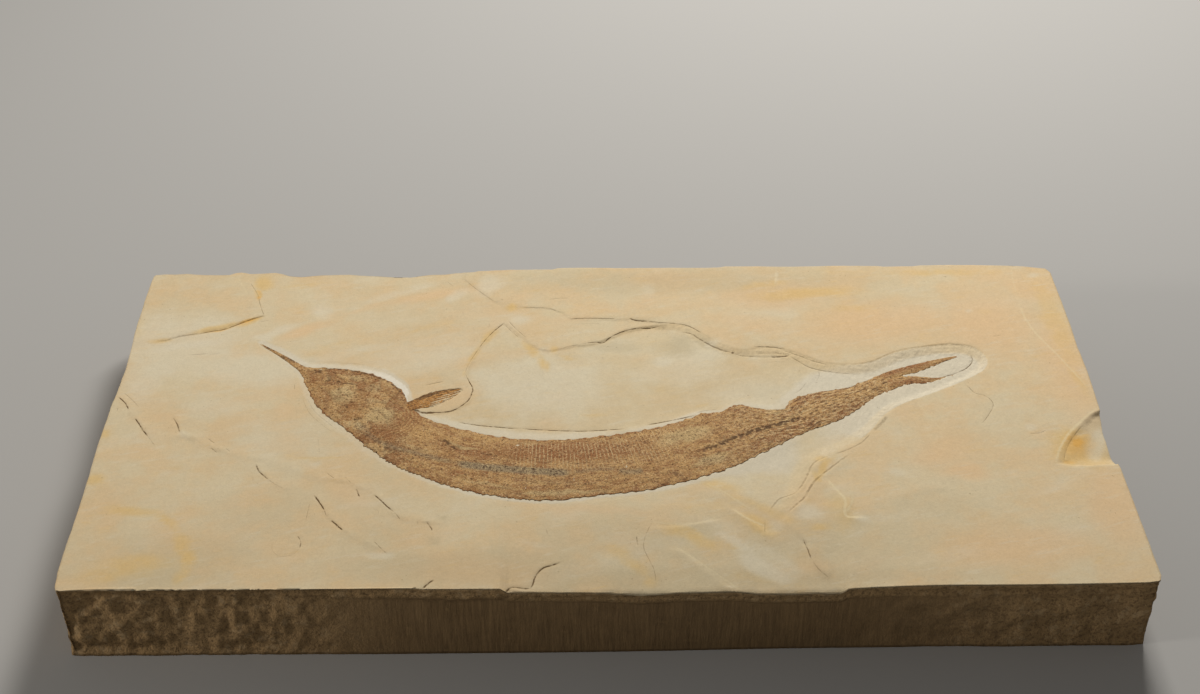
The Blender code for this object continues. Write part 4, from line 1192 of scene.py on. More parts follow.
def fish_marks(plan, along, aside, across, half_widths, strip_number, lengthwise):
    """Where each mark lies on the fish, and how far the surface rises or sinks there."""
    x = plan[:, 0]
    body, fin = strip_number == 0, strip_number == 3
    head = soft_step(-x, 150.0, 172.0) * soft_step(x, -250.0, -240.0) * body
    rows = soft_step(x, ROWS_FROM, ROWS_FROM + 22.0) * (1.0 - soft_step(x, ROWS_TO - 20.0, ROWS_TO))
    rows *= soft_step(across, -0.3, 0.0) * (1.0 - soft_step(across, 0.82, 0.95)) * body
    rows *= 0.45 + 0.55 * soft_step(cloud(plan, 14.0, 60.0), -0.5, 0.3)
    grey = bands(plan, GREY_BAND)
    beads = soft_step(cloud(plan, 2.7, 77.0), -0.35, 0.2)
    dark = np.maximum(bands(plan, DARK_BAND), patches(plan, FISH_PATCHES["dark"])) * (0.25 + 0.75 * beads)
    ragged_edge = np.abs(across) + 0.1 * cloud(plan, 4.0, 62.0)
    belly = np.where(across < 0.0, 0.035, 0.0)
    margin = soft_step(ragged_edge + belly, 0.9, 1.0) * np.clip(half_widths / 12.0, 0.0, 1.0) * ~fin
    dark = np.maximum(dark, 0.5 * margin * soft_step(cloud(plan, 4.0, 63.0), 0.0, 0.45))
    stretched = np.column_stack([along, aside])
    ray = np.sin(2.0 * math.pi * (aside / FIN_RAY_PITCH + 0.5 * cloud(stretched, 3.0, 78.0, (6.0, 1.0))))
    fin_low = soft_step(-across + 0.4 * cloud(stretched, 3.0, 79.0, (5.0, 1.0)), -0.7, 0.3)
    open_end = soft_step(lengthwise - 0.3 * across, 0.35, 0.95)
    fin_gap = fin * open_end * fin_low * soft_step(ray, -0.15, 0.35)
    fin_gap = np.maximum(fin_gap, fin * soft_step(lengthwise + 0.14 * cloud(plan, 2.5, 81.0), 0.92, 1.0))
    leading = soft_step(across + 0.3 * cloud(stretched, 3.0, 79.0, (5.0, 1.0)), 0.3, 0.85)
    dark = np.maximum(dark, fin * (0.95 * leading + 0.85 * soft_step(-ray, 0.25, 0.75)) * (0.6 + 0.4 * beads))
    coarse = rough_cloud(plan, 8.0, 64.0)
    fine = rough_cloud(plan, 2.6, 65.0, 3)
    tone, seam = mosaic(plan, 13.0)
    arcs = arcs_at(plan)
    rise = 0.26 * coarse + 0.3 * fine + 0.22 * cloud(stretched, 1.8, 66.0, (5.0, 1.0))
    wave = along + 0.9 * cloud(plan, 9.0, 61.0) - 1.5 * np.abs(across - 0.35)
    rise += rows * (0.25 * (0.5 - 0.5 * np.cos(2.0 * math.pi * wave / ROW_PITCH)) - 0.15)
    rise += head * (0.25 * coarse - 0.3 * seam + 0.2 * tone) + 0.25 * arcs
    rise += grey * (0.35 * rough_cloud(plan, 1.9, 67.0, 2) - 0.15)
    rise -= 0.3 * np.clip(dark, 0.0, 1.0) * soft_step(0.95 - np.abs(across), 0.0, 0.05) + 0.4 * fin_gap
    kinds = {kind: patches(plan, FISH_PATCHES[kind]) for kind in ("red", "gold", "tan")}
    kinds["red"] = np.maximum(kinds["red"], 0.7 * margin * soft_step(cloud(plan, 6.0, 82.0), -0.4, 0.2))
    return {
        "rows": rows, "grey": grey, "dark": dark, "rise": rise, "arcs": arcs, "fin_gap": fin_gap,
        "seam": seam * head, "tone": tone * head, "netted": soft_step(x, 60.0, 150.0) * body,
        "white": patches(plan, FISH_PATCHES["white"], 0.5, 3.0), "fin": 1.0 * fin, **kinds,
    }


fish_details = shape_fish(fish_mesh)
bmesh.ops.recalc_face_normals(fish_mesh, faces=fish_mesh.faces)

# %% [markdown]
# ## Stains and the worked margin
# Iron has stained the beds in soft patches: warm bands, ochre rims, a few rusty spots, and paler
# or greyer places between them. The broad grey patches along the front edge are painted shade,
# where the light falls off toward the viewer, and the rust and ochre on the lost flake are painted
# brighter to offset the shade on its slope. Next to the fish the stone was scraped down to a fresh
# chalky white. The patches use the same short form as those on the fish, and the white margin has
# a width for each place along the animal, above it and below it.

# %% Patches on the stone
STONE_PATCHES = {
    "rose": [(-150, 168, 48, 9, 18, 0.7), (-255, 118, 30, 9, 32, 0.7), (-200, 152, 40, 6, 28, 0.45),
             (55, 190, 40, 20, -5, 0.7), (150, 165, 60, 28, 4, 0.7), (130, 120, 50, 18, -20, 0.5),
             (235, 120, 80, 36, 8, 0.75), (330, 120, 50, 60, 10, 0.75), (265, -55, 34, 26, 20, 0.6),
             (278, -78, 22, 12, 0, 0.8), (385, -95, 20, 25, 0, 0.7), (300, -165, 70, 26, 4, 0.7),
             (-95, -185, 60, 18, -4, 0.8), (-120, -170, 26, 8, -10, 0.6), (-15, -118, 70, 6, -6, 0.5),
             (-200, -98, 26, 16, -35, 0.45), (-260, 5, 10, 14, 0, 0.5), (60, 60, 40, 25, 0, 0.35),
             (-330, -140, 26, 12, -30, 0.4), (230, 30, 50, 14, 25, 0.4), (-70, 165, 25, 10, 0, 0.4),
             (384, 60, 26, 90, 0, 0.75), (384, -120, 26, 60, 0, 0.7), (376, 170, 30, 30, 0, 0.6)],
    "ochre": [(-300, 190, 9, 14, 0, 0.8), (-332, 121, 22, 4.5, 20, 0.9), (-305, 131, 14, 5, 36, 0.9),
              (-375, 103, 14, 4, 12, 0.7), (-303, 172, 4, 12, 18, 0.7), (-395, 120, 8, 20, 0, 0.4),
              (-262, 187, 30, 8, 10, 0.4), (-395, -80, 10, 9, 0, 0.8), (-400, -22, 8, 7, 0, 0.7),
              (-352, -178, 40, 16, 14, 0.65), (-310, -168, 7, 12, 0, 0.8), (-360, -115, 26, 7, -12, 0.7),
              (-330, -128, 16, 6, -35, 0.7), (-316, -152, 6, 16, 8, 0.7), (-313, -185, 6, 14, 0, 0.6),
              (-335, -66, 30, 5, -5, 0.3), (-230, -55, 40, 3.5, -4, 0.5), (-80, 148, 5, 6, 0, 0.9),
              (-98, 106, 4.5, 16, -28, 0.75), (-110, 78, 4, 20, -14, 0.65), (-116, 52, 3, 10, 0, 0.4),
              (-62, 86, 5, 14, 30, 0.8), (-52, 68, 5, 12, 12, 0.8), (-42, 87, 5, 8, 0, 0.6),
              (-30, 76, 9, 4, -22, 0.6), (0, 140, 90, 12, -4, 0.3), (45, 30, 7, 12, 0, 0.35),
              (-10, -2, 20, 5, 0, 0.4), (-70, 12, 10, 8, 0, 0.3), (178, 166, 52, 10, 6, 0.75),
              (140, 178, 30, 8, 8, 0.5), (215, 143, 25, 8, 0, 0.45), (300, 197, 60, 7, 0, 0.6),
              (215, 200, 40, 5, 0, 0.35), (388, 120, 13, 85, 2, 0.55), (390, 40, 8, 30, 8, 0.5),
              (220, 60, 25, 4, 8, 0.6), (167, -62, 6, 5, 0, 0.85), (160, -82, 4, 8, 20, 0.7),
              (157, -141, 10, 5, 10, 0.7), (152, -118, 4, 10, -30, 0.4), (175, -125, 14, 26, 0, 0.5),
              (75, -115, 40, 13, -8, 0.3), (166, -74, 4, 20, -35, 0.8), (112, -138, 20, 8, -42, 0.7),
              (85, -90, 26, 9, -35, 0.55), (124, -124, 24, 9, -38, 0.5), (100, -106, 22, 6, -30, 0.45),
              (14, -175, 26, 7, -42, 0.55), (5, -163, 12, 8, 0, 0.55),
              (30, -195, 10, 8, 0, 0.5), (60, -150, 26, 9, -38, 0.7),
              # The ochre patches at x 364 to 372 lie on the lost flake and are made strong as painted light
              # that offsets the shade of its slope.
              (105, -190, 26, 9, -10, 0.35), (90, -160, 14, 5, -20, 0.5), (364, -60, 12, 14, -20, 0.9),
              (368, -45, 13, 22, -38, 0.95), (-385, 60, 8, 20, 0, 0.3), (-290, 60, 12, 14, 0, 0.2),
              (-150, 120, 40, 5, 24, 0.35), (-230, 95, 30, 5, 28, 0.35), (330, 135, 8, 8, 0, 0.35),
              (372, -52, 26, 24, -30, 0.9)],
    # Rust spots; the first four lie on the lost flake, where the bright rust is painted light against the
    # shade of its slope.
    "rust_and_painted_light": [(372, -48, 13, 20, -38, 0.55), (374, -46, 5, 6, -38, 1.0), (378, -38, 4, 10, -38, 0.45),
             (361, -66, 6, 4, 0, 0.45),
             (-301, 166, 2.5, 4, 0, 0.6), (-308, 131, 13, 2.4, 34, 0.75), (-330, 119, 12, 1.8, 18, 0.5),
             (-303, 175, 2, 8, 16, 0.5), (62, 118, 10, 3, -10, 0.35), (148, 79, 14, 3, 0, 0.25)],
    "chalk": [(-383, 130, 16, 22, -20, 0.5), (-352, 97, 40, 7, 14, 0.75), (-280, 115, 26, 6, 30, 0.8),
              (-290, 107, 10, 4, -30, 0.9), (-243, 145, 9, 13, 10, 0.8), (-180, 172, 40, 7, 26, 0.6),
              (-372, 60, 22, 14, 0, 0.55), (-300, 85, 60, 9, -4, 0.35), (-100, 182, 12, 20, -30, 0.8),
              (-128, 168, 8, 18, -32, 0.7), (-70, 132, 12, 10, 0, 0.7), (-100, 50, 6, 30, 4, 0.35),
              (-60, 30, 30, 34, 0, 0.4), (48, 70, 9, 8, 0, 0.8), (-8, 75, 14, 16, 0, 0.3),
              (38, 170, 9, 13, 0, 0.5), (92, 94, 5, 5, -40, 0.95), (154, 190, 2.5, 16, 0, 0.45),
              (-230, -62, 8, 4, 0, 0.6), (-335, -24, 9, 4, -30, 0.6), (-168, -168, 14, 5, -14, 0.75),
              (-55, -155, 30, 4, -18, 0.4), (151, -124, 12, 8, 10, 0.9), (112, -180, 26, 9, -42, 1.0),
              (96, -158, 26, 6, -42, 0.85),
              (128, -182, 16, 10, -20, 0.5), (124, -140, 10, 7, 20, 0.5), (190, -130, 9, 5, 0, 0.6),
              (224, -78, 12, 6, -20, 0.7), (340, -24, 8, 6, 0, 0.75), (318, 137, 5, 5, 0, 0.6),
              (388, -42, 7, 26, -20, 0.9), (384, 192, 6, 4, 0, 0.7), (250, -170, 40, 8, 6, 0.3),
              (120, -168, 34, 7, -42, 0.55), (84, -136, 22, 8, -30, 0.5),
              (-385, 5, 12, 14, -30, 0.3), (-380, 48, 20, 30, 0, 0.7), (-318, 12, 40, 20, 0, 0.5),
              (175, 40, 14, 14, 0, 0.3), (-150, 60, 30, 8, 16, 0.3)],
    "cool": [(-360, 100, 60, 40, 10, 1.0), (-290, 62, 70, 26, -6, 0.9), (-150, 80, 60, 30, 14, 0.7),
             (-55, 40, 62, 46, 0, 1.0), (70, 66, 40, 34, 0, 0.8), (118, 24, 44, 26, 10, 0.8),
             (-80, 130, 26, 16, 0, 0.6), (-260, -30, 60, 40, -30, 0.5), (190, 40, 40, 24, 0, 0.5)],
    # Ash patches are grey stains. The broad ones along the front, from y -150 to -192, are painted shade
    # where the light falls off toward the viewer.
    "ash": [(-262, -122, 60, 40, -10, 0.4), (-160, -150, 50, 22, -10, 0.45), (155, 165, 60, 22, 0, 0.4),
            (-330, -188, 60, 16, 0, 0.7), (240, -120, 60, 26, 0, 0.45), (30, 130, 30, 5, -6, 0.5),
            (86, 100, 8, 14, 40, 0.7), (92, -112, 50, 12, -12, 0.6), (150, -70, 20, 10, -40, 0.5),
            (130, 30, 40, 26, 0, 0.35), (-125, -129, 4, 4, 0, 0.8), (-128, -152, 3.2, 2.6, 0, 1.0),
            (200, -170, 50, 20, 0, 0.35), (12, -24, 10, 3, 0, 0.9), (310, 82, 12, 8, -30, 0.5),
            (60, -192, 220, 16, 0, 0.85), (60, 188, 210, 26, 0, 0.7), (61, 90, 20, 18, 0, 0.8),
            (100, -150, 190, 46, 0, 0.6), (10, 92, 30, 10, 0, 0.6), (-315, -165, 70, 30, 0, 0.6),
            (-95, -182, 110, 26, 0, 0.8), (300, 170, 80, 40, 0, 0.25)],
}

# %% [markdown]
# The white margin is widest on the side the tools came from. Two short tables give its width and
# its whiteness, one above the animal and one below, and noise makes its edge uneven.

# %% The margin that was scraped white
# Where along the slab, how wide the white margin is there, and how white.
MARGIN_ABOVE = [
    (-302, 3, 0.5), (-290, 5, 0.8), (-270, 7, 0.85), (-246, 6, 0.75), (-222, 7, 0.6), (-200, 9, 1.1),
    (-180, 11, 1.25), (-162, 9, 1.25), (-155, 3, 0.5), (-148, 5, 0.5), (-125, 9, 0.65), (-100, 11, 0.65),
    (-60, 12, 0.6), (-20, 11, 0.6), (10, 6, 0.45), (35, 5, 0.65), (62, 7, 0.8), (84, 5, 0.75),
    (100, 3, 0.4), (128, 8, 0.5), (150, 14, 0.8), (172, 30, 1.0), (330, 40, 1.0),
]
MARGIN_BELOW = [
    (-302, 1.5, 0.3), (-270, 2, 0.35), (-255, 3, 0.45), (-240, 6, 0.4), (-215, 7, 0.4),
    (-190, 6, 0.35), (-165, 4, 0.4), (-130, 3.5, 0.65), (-80, 3, 0.8), (-40, 3, 0.8), (10, 3, 0.75),
    (60, 4, 0.8), (90, 7, 0.7), (112, 16, 0.75), (135, 32, 0.9), (160, 46, 1.0), (330, 44, 1.0),
]


PAST_THE_TAIL = (340.0, 70.0)
PATCH_WANDER, PATCH_GRAIN = 5.0, 24.0


def worked_margin(points, edge, deep):
    """How freshly scraped the stone is at each point, from 0 to 1."""
    cuts = spaced(BODY, np.linspace(0.0, 1.0, 120))
    spine = (cuts[:, 0:2] + cuts[:, 2:4]) / 2.0
    spine = np.vstack([spine, [PAST_THE_TAIL]])
    _, side, _, _ = distance_to(points, spine)
    x = points[:, 0] + 3.0 * cloud(points, 9.0, 70.0)
    tables = [np.array(table, float).T for table in (MARGIN_ABOVE, MARGIN_BELOW)]
    width, white = (
        np.where(side > 0, *(np.interp(x, table[0], table[column]) for table in tables))
        for column in (1, 2)
    )
    uneven = edge + 1.2 * cloud(points, 6.0, 71.0) + 0.7 * cloud(points, 2.5, 72.0)
    margin = white * (1.0 - soft_step(uneven, 0.5 * width, 1.08 * width + 1.6))
    in_trench = soft_step(points[:, 0], 130.0, 165.0)
    margin *= 1.0 - in_trench * (1.0 - soft_step(deep, 0.1, 0.5))
    return margin


plan = stone_details["plan"]
for name, listed in STONE_PATCHES.items():
    stone_details[name] = patches(plan, listed, PATCH_WANDER, PATCH_GRAIN)
stone_details["worked"] = worked_margin(plan, stone_details["fish_gap"], stone_details["deep"])
print("share of the face that is scraped white:", round(float((stone_details["worked"] > 0.5).mean()), 3))

# %% [markdown]
# ## From mesh to object
# What was found at each vertex is stored on the mesh as attributes. The materials read them, so
# a colour stays on its own place whatever the view. Three signed distances share one vector: a
# line drawn where a distance passes through zero is crisp even when the cells are far wider.

# %% Make an object and keep its marks
def add_piece(name, bm, marks, node):
    """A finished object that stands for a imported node, with its marks as point attributes."""
    mesh = bpy.data.meshes.new(name)
    bm.to_mesh(mesh)
    bm.free()
    mesh.shade_smooth()
    for mark, values in marks.items():
        kind, field = ("FLOAT", "value") if values.ndim == 1 else ("FLOAT_VECTOR", "vector")
        attribute = mesh.attributes.new(mark, kind, "POINT")
        attribute.data.foreach_set(field, values.astype(np.float32).ravel())
    piece = bpy.data.objects.new(name, mesh)
    bpy.context.scene.collection.objects.link(piece)
    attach(piece, "root")
    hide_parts(node)
    print(name, "has", sum(len(face.vertices) - 2 for face in mesh.polygons), "triangles")
    return piece


STONE_MARKS = ["sides", "marks", "wall", "deep", "inner", "broken", "sawn", "bowl", "worked",
               "rose", "ochre", "rust_and_painted_light", "chalk", "cool", "ash"]
FISH_MARKS = ["along", "aside", "rows", "grey", "dark", "red", "gold", "tan", "white", "seam", "tone",
              "arcs", "netted", "fin", "fin_gap"]
slab_stone = add_piece("slab_stone", stone_mesh, {mark: stone_details[mark] for mark in STONE_MARKS},
                       "limestone_slab")
fish_relief = add_piece("fish_relief", fish_mesh, {mark: fish_details[mark] for mark in FISH_MARKS},
                        "fossil_fish")

# %% [markdown]
# ## Writing shader maths
# A material here is a sum of masks, and sums are easier to read as sums. The small class below
# wraps a socket, and each operator on it adds one Math node. Every other kind of node comes from
# one method, which takes its type, then its settings, then what goes into its sockets.

# %% A socket that takes part in sums
class Wire:
    """The output of a shader node, with arithmetic that adds Math nodes."""

    def __init__(self, finish, socket):
        self.finish = finish
        self.socket = socket

    def math(self, operation, first, second=None):
        """One Math node on one or two numbers or wires."""
        inputs = {0: first} if second is None else {0: first, 1: second}
        return self.finish.node("ShaderNodeMath", {"operation": operation}, inputs)

    def __add__(self, other):
        return self.math("ADD", self, other)

    def __sub__(self, other):
        return self.math("SUBTRACT", self, other)

    def __mul__(self, other):
        return self.math("MULTIPLY", self, other)

    def __radd__(self, other):
        return self.math("ADD", other, self)

    def __rsub__(self, other):
        return self.math("SUBTRACT", other, self)

    def __rmul__(self, other):
        return self.math("MULTIPLY", other, self)

    def __abs__(self):
        return self.math("ABSOLUTE", self)

    def __neg__(self):
        return self.math("MULTIPLY", self, -1.0)

    def at_least(self, other):
        """The larger of this and another number."""
        return self.math("MAXIMUM", self, other)

    def at_most(self, other):
        """The smaller of this and another number."""
        return self.math("MINIMUM", self, other)


# %% [markdown]
# A finish is one material in the making. It holds the tree and the few patterns that both
# materials share: a stored mark, noise of a given size, a soft step, a colour laid over another.

# %% A material being wired
DULL_SPECULAR = 0.12


class Finish:
    """A Principled material and the few node patterns that both finishes use."""

    def __init__(self, name):
        self.material = bpy.data.materials.new(name)
        self.material.use_nodes = True
        self.tree = self.material.node_tree
        self.shader = self.tree.nodes["Principled BSDF"]
        self.place = self.node("ShaderNodeTexCoord", output="Object")

    def node(self, kind, settings=None, inputs=None, output=0):
        """Any node: its settings are made first, then its sockets get values or links."""
        made = self.tree.nodes.new(kind)
        for key, value in (settings or {}).items():
            setattr(made, key, value)
        for key, value in (inputs or {}).items():
            self.feed(made.inputs[key], value)
        return Wire(self, made.outputs[output])

    def feed(self, socket, value):
        """Link a wire to a socket, or set the socket's own value."""
        if isinstance(value, Wire):
            self.tree.links.new(value.socket, socket)
        elif isinstance(value, tuple) and len(value) == 3 and socket.type == "RGBA":
            socket.default_value = (*value, 1.0)
        else:
            socket.default_value = value

    def mark(self, name):
        """A number stored at the vertices."""
        return self.node("ShaderNodeAttribute", {"attribute_name": name}, output="Fac")

    def mark_parts(self, name):
        """The three numbers of a vector stored at the vertices."""
        vector = self.node("ShaderNodeAttribute", {"attribute_name": name}, output="Vector")
        parts = self.tree.nodes.new("ShaderNodeSeparateXYZ")
        self.feed(parts.inputs[0], vector)
        return [Wire(self, output) for output in parts.outputs]

    def noise(self, size, detail=2.0, roughness=0.5, place=None):
        """Smooth noise, 0 to 1, with features of the given size in millimetres."""
        inputs = {"Vector": place or self.place, "Scale": 1.0 / (size * MM), "Detail": detail,
                  "Roughness": roughness}
        return self.node("ShaderNodeTexNoise", None, inputs)

    def seam_gap(self, size, place):
        """The distance to the edge of irregular cells of the given size in millimetres."""
        inputs = {"Vector": place, "Scale": 1.0 / (size * MM)}
        return self.node("ShaderNodeTexVoronoi", {"feature": "DISTANCE_TO_EDGE"}, inputs)

    def drawn_out(self, angle, stretch):
        """The place for a pattern that is turned about the vertical and drawn out along its own axes."""
        inputs = {"Vector": self.place, "Rotation": (0.0, 0.0, math.radians(angle)), "Scale": stretch}
        return self.node("ShaderNodeMapping", {"vector_type": "TEXTURE"}, inputs)

    def step(self, value, low, high):
        """0 below low, 1 above high, smooth between."""
        settings = {"interpolation_type": "SMOOTHSTEP"}
        return self.node("ShaderNodeMapRange", settings, {"Value": value, "From Min": low, "From Max": high})

    def mix(self, under, over, share):
        """One colour laid over another."""
        settings = {"data_type": "RGBA", "clamp_factor": True}
        return self.node("ShaderNodeMix", settings, {0: share, 6: under, 7: over}, output=2)

    def layers(self, colour, *laid):
        """Further colours laid over a first one, each with its own share."""
        for over, share in laid:
            colour = self.mix(colour, over, share)
        return colour

    def ragged(self, mask, breakup):
        """A soft mask whose edge is broken up by noise."""
        mask = self.mark(mask) if isinstance(mask, str) else mask
        return self.step(mask + 0.5 * breakup - 0.25, 0.12, 0.85)

    def shade(self, colour, factor):
        """A colour made lighter or darker by a number about 1."""
        grey = self.node("ShaderNodeCombineXYZ", None, {0: factor, 1: factor, 2: factor})
        settings = {"data_type": "RGBA", "blend_type": "MULTIPLY"}
        return self.node("ShaderNodeMix", settings, {0: 1.0, 6: colour, 7: grey}, output=2)

    def close(self, colour, roughness, height):
        """Feed the Principled shader; height is the relief too fine for the mesh, in millimetres."""
        self.feed(self.shader.inputs["Base Color"], colour)
        self.feed(self.shader.inputs["Roughness"], roughness)
        self.shader.inputs["Specular IOR Level"].default_value = DULL_SPECULAR
        bump = self.node("ShaderNodeBump", None, {"Strength": 1.0, "Distance": MM, "Height": height})
        self.feed(self.shader.inputs["Normal"], bump)
        return self.material


# %% [markdown]
# ## The limestone
# The stone is nearly the colour of cream, and what makes it real is how that cream drifts: warm and
# cool clouds, faint bands from the bedding, stains with ragged edges, dust on the broken sides. The
# sides are painted dark brown, which paints in the shade they lie in, and their bowls and pits get
# painted shade as well.
# Each layer below is one mask and one colour, from the widest to the finest.

# %% Limestone finish
CREAM = (0.63, 0.52, 0.335)
SAND = (0.60, 0.475, 0.29)
PALE_CREAM = (0.63, 0.55, 0.385)
TAN = (0.66, 0.485, 0.28)
ROSE = (0.69, 0.48, 0.27)
OCHRE = (0.67, 0.45, 0.165)
# Rust, made brighter than the stain itself so that the lost flake's shaded floor still reads bright: partly
# painted light.
RUST_AND_PAINTED_LIGHT = (0.72, 0.38, 0.07)
CHALK = (0.665, 0.60, 0.455)
COOL = (0.66, 0.595, 0.445)
# Grey for ash stains, and for the painted shade along the front edge.
ASH_AND_SHADE = (0.475, 0.39, 0.24)
WORKED_WHITE = (0.645, 0.585, 0.46)
BRUISED_WHITE = (0.76, 0.71, 0.60)
# Fresh chiselled stone for the hollow's walls, made paler and warmer as painted light that offsets the shade
# on walls facing away from the key light.
FRESH_WALL_AND_PAINTED_LIGHT = (0.69, 0.54, 0.32)
# Brown for cracks, dark specks and the painted shade along bed edges.
CRACK_SPECK_AND_SHADE_BROWN = (0.115, 0.06, 0.018)
# Pale fresh stone for thin bed edges, also a painted highlight where an edge faces the light.
FRESH_EDGE_AND_HIGHLIGHT = (0.74, 0.63, 0.40)
# The side colours are dark brown, far darker than the face's cream, with the shade of the sides painted in;
# the sawn front is painted nearly black for the same reason.
SIDE_STONE_AND_SHADE = (0.40, 0.255, 0.118)
SIDE_DUST_AND_SHADE = (0.22, 0.135, 0.06)
SAWN_STONE_AND_SHADE = (0.135, 0.083, 0.038)


def limestone_finish():
    """Bedded, stained limestone: smooth face, scraped margin, broken sides."""
    stone = Finish("limestone")
    drift = stone.noise(150.0, 3.0, 0.55)
    mottle = stone.noise(38.0, 4.0, 0.6)
    grain = stone.noise(1.2, 2.0, 0.6)
    pores = stone.noise(2.6, 4.0, 0.7)
    cloudy = stone.noise(8.0, 3.0, 0.6)
    breakup = stone.noise(11.0, 5.0, 0.62)
    slanted = stone.noise(30.0, 4.0, 0.6, stone.drawn_out(18.0, (2.4, 1.0, 1.0)))
    wisps = stone.noise(4.5, 4.0, 0.65, stone.drawn_out(14.0, (5.0, 1.0, 1.0)))

    inner = stone.mark("inner")
    colour = stone.layers(
        SAND,
        (CREAM, stone.step(drift, 0.35, 0.62)),
        (TAN, (1.0 - inner) * stone.step(mottle, 0.62, 0.36) * 0.6),
        (PALE_CREAM, (0.25 + 0.5 * inner) * stone.step(mottle, 0.42, 0.7)),
        (ROSE, 0.3 * stone.step(slanted, 0.5, 0.72)),
        (CHALK, 0.3 * stone.step(slanted, 0.48, 0.3)),
        (COOL, 0.6 * stone.ragged("cool", mottle)),
        (ROSE, 0.75 * stone.ragged("rose", mottle)),
        # Grey ash stains, with painted shade along the front edge.
        (ASH_AND_SHADE, 0.5 * stone.ragged("ash", mottle)),
        (OCHRE, 0.65 * stone.ragged("ochre", breakup)),
        (CHALK, 0.6 * stone.ragged("chalk", breakup)),
        # Rust stains, brightened on the lost flake as painted light.
        (RUST_AND_PAINTED_LIGHT, 0.75 * stone.ragged("rust_and_painted_light", breakup)),
        (CHALK, 0.3 * stone.step(wisps, 0.55, 0.72)),
        (OCHRE, 0.2 * stone.step(wisps, 0.44, 0.30) * stone.step(mottle, 0.55, 0.4)),
    )

    worked, deep, wall = stone.mark("worked"), stone.mark("deep"), stone.mark("wall")
    scrape = stone.noise(2.4, 3.0, 0.65, stone.drawn_out(62.0, (2.6, 1.0, 1.0)))
    fresh = stone.step(worked + 0.45 * scrape, 0.2, 1.05)
    colour = stone.layers(
        colour,
        (WORKED_WHITE, fresh * (0.74 + 0.12 * deep)),
        (BRUISED_WHITE, 0.8 * stone.step(worked + 0.2 * scrape, 1.12, 1.35)),
        # Walls painted paler and warmer: painted light against their shade.
        (FRESH_WALL_AND_PAINTED_LIGHT, 0.8 * wall),
    )
    colour = stone.shade(colour, 1.0 + 0.4 * (wall + deep).at_most(1.0) * (scrape - 0.5))

    broken, sawn, bowl = stone.mark("broken"), stone.mark("sawn"), stone.mark("bowl")
    split = 1.0 - sawn
    dust = stone.noise(16.0, 5.0, 0.68)
    beds = stone.noise(7.0, 3.0, 0.5, stone.drawn_out(0.0, (8.0, 8.0, 1.0)))
    streaks = stone.noise(3.2, 3.0, 0.6, stone.drawn_out(0.0, (1.0, 1.0, 9.0)))
    # The broken sides are painted dark brown, which paints in the shade they lie in. Dust lies in patches,
    # and the scallop bowls are darkened as painted shade. The pits of the bump are painted dark as painted
    # shade, and its raised parts are painted back lighter as painted highlight. The sawn front is its own
    # colour darkened with painted shade.
    side = stone.layers(
        SIDE_STONE_AND_SHADE,
        (SIDE_DUST_AND_SHADE, 0.5 * stone.step(0.55 * dust + 0.25 * beds + 0.1 * bowl, 0.36, 0.62)),
        (SIDE_STONE_AND_SHADE, 0.35 * stone.step(breakup, 0.52, 0.68)),
        (SAWN_STONE_AND_SHADE, 0.6 * split * stone.step(pores, 0.5, 0.4)),
        (TAN, 0.3 * split * stone.step(cloudy, 0.54, 0.66)),
        (SAWN_STONE_AND_SHADE, sawn * (0.7 + 0.6 * (streaks - 0.5) + 0.5 * (dust - 0.5))),
        (SIDE_STONE_AND_SHADE, 0.4 * sawn * stone.step(dust, 0.6, 0.72)),
    )
    colour = stone.mix(colour, side, 0.95 * broken)

    waver = 1.3 * (stone.noise(3.4, 3.0) - 0.5)
    along_line = stone.noise(5.5, 3.0, 0.6)
    dark, pale = 0.0, 0.0
    for side_gap, strength in zip(stone.mark_parts("sides"), stone.mark_parts("marks")):
        line = 1.0 - stone.step(abs(side_gap + waver), 0.25, 1.2)
        dark = line * strength.at_least(0.0) + dark
        pale = line * (-strength).at_least(0.0) + pale
    dark = dark * (0.45 + 0.75 * stone.step(along_line, 0.36, 0.56))
    thinly = stone.step(stone.noise(60.0, 1.0), 0.45, 0.6)
    specks = stone.step(stone.noise(2.4, 1.0, 0.5), 0.72, 0.80) * thinly
    # Pale lines are fresh edges with painted highlight; dark lines are cracks and painted shade at bed edges;
    # specks are dark grains.
    colour = stone.layers(
        colour, (FRESH_EDGE_AND_HIGHLIGHT, 0.6 * pale), (CRACK_SPECK_AND_SHADE_BROWN, dark.at_most(0.9)), (CRACK_SPECK_AND_SHADE_BROWN, 0.35 * specks),
    )
    colour = stone.shade(colour, 0.72 + 0.2 * grain + 0.24 * pores + 0.12 * cloudy)

    height = 0.1 * grain + 0.16 * pores + 0.08 * cloudy + 0.3 * worked * scrape - 0.2 * dark
    height = height + broken * (split * (2.6 * breakup + 1.5 * pores) + 0.6 * sawn * streaks)
    roughness = 0.78 + 0.12 * grain + 0.06 * broken
    return stone.close(colour, roughness, height)


# %% [markdown]
# ## Bone and scale
# Fossil bone keeps its structure, so its colour follows the body: golden on the skull, red-brown
# where tall scales stand, grey and speckled along the side line, nearly black at the margins.
# Under all of that lie small dark flecks and a net of pale seams, a few millimetres across.

# %% Fossil bone finish
BONE_BROWN = (0.345, 0.178, 0.070)
BONE_GOLD = (0.525, 0.315, 0.125)
BONE_RED = (0.275, 0.112, 0.040)
BONE_ORANGE = (0.52, 0.245, 0.062)
BONE_TAN = (0.525, 0.375, 0.18)
BONE_GREY = (0.25, 0.20, 0.125)
BONE_DARK = (0.080, 0.040, 0.018)
BONE_PALE = (0.65, 0.48, 0.26)
BONE_WHITE = (0.68, 0.60, 0.44)


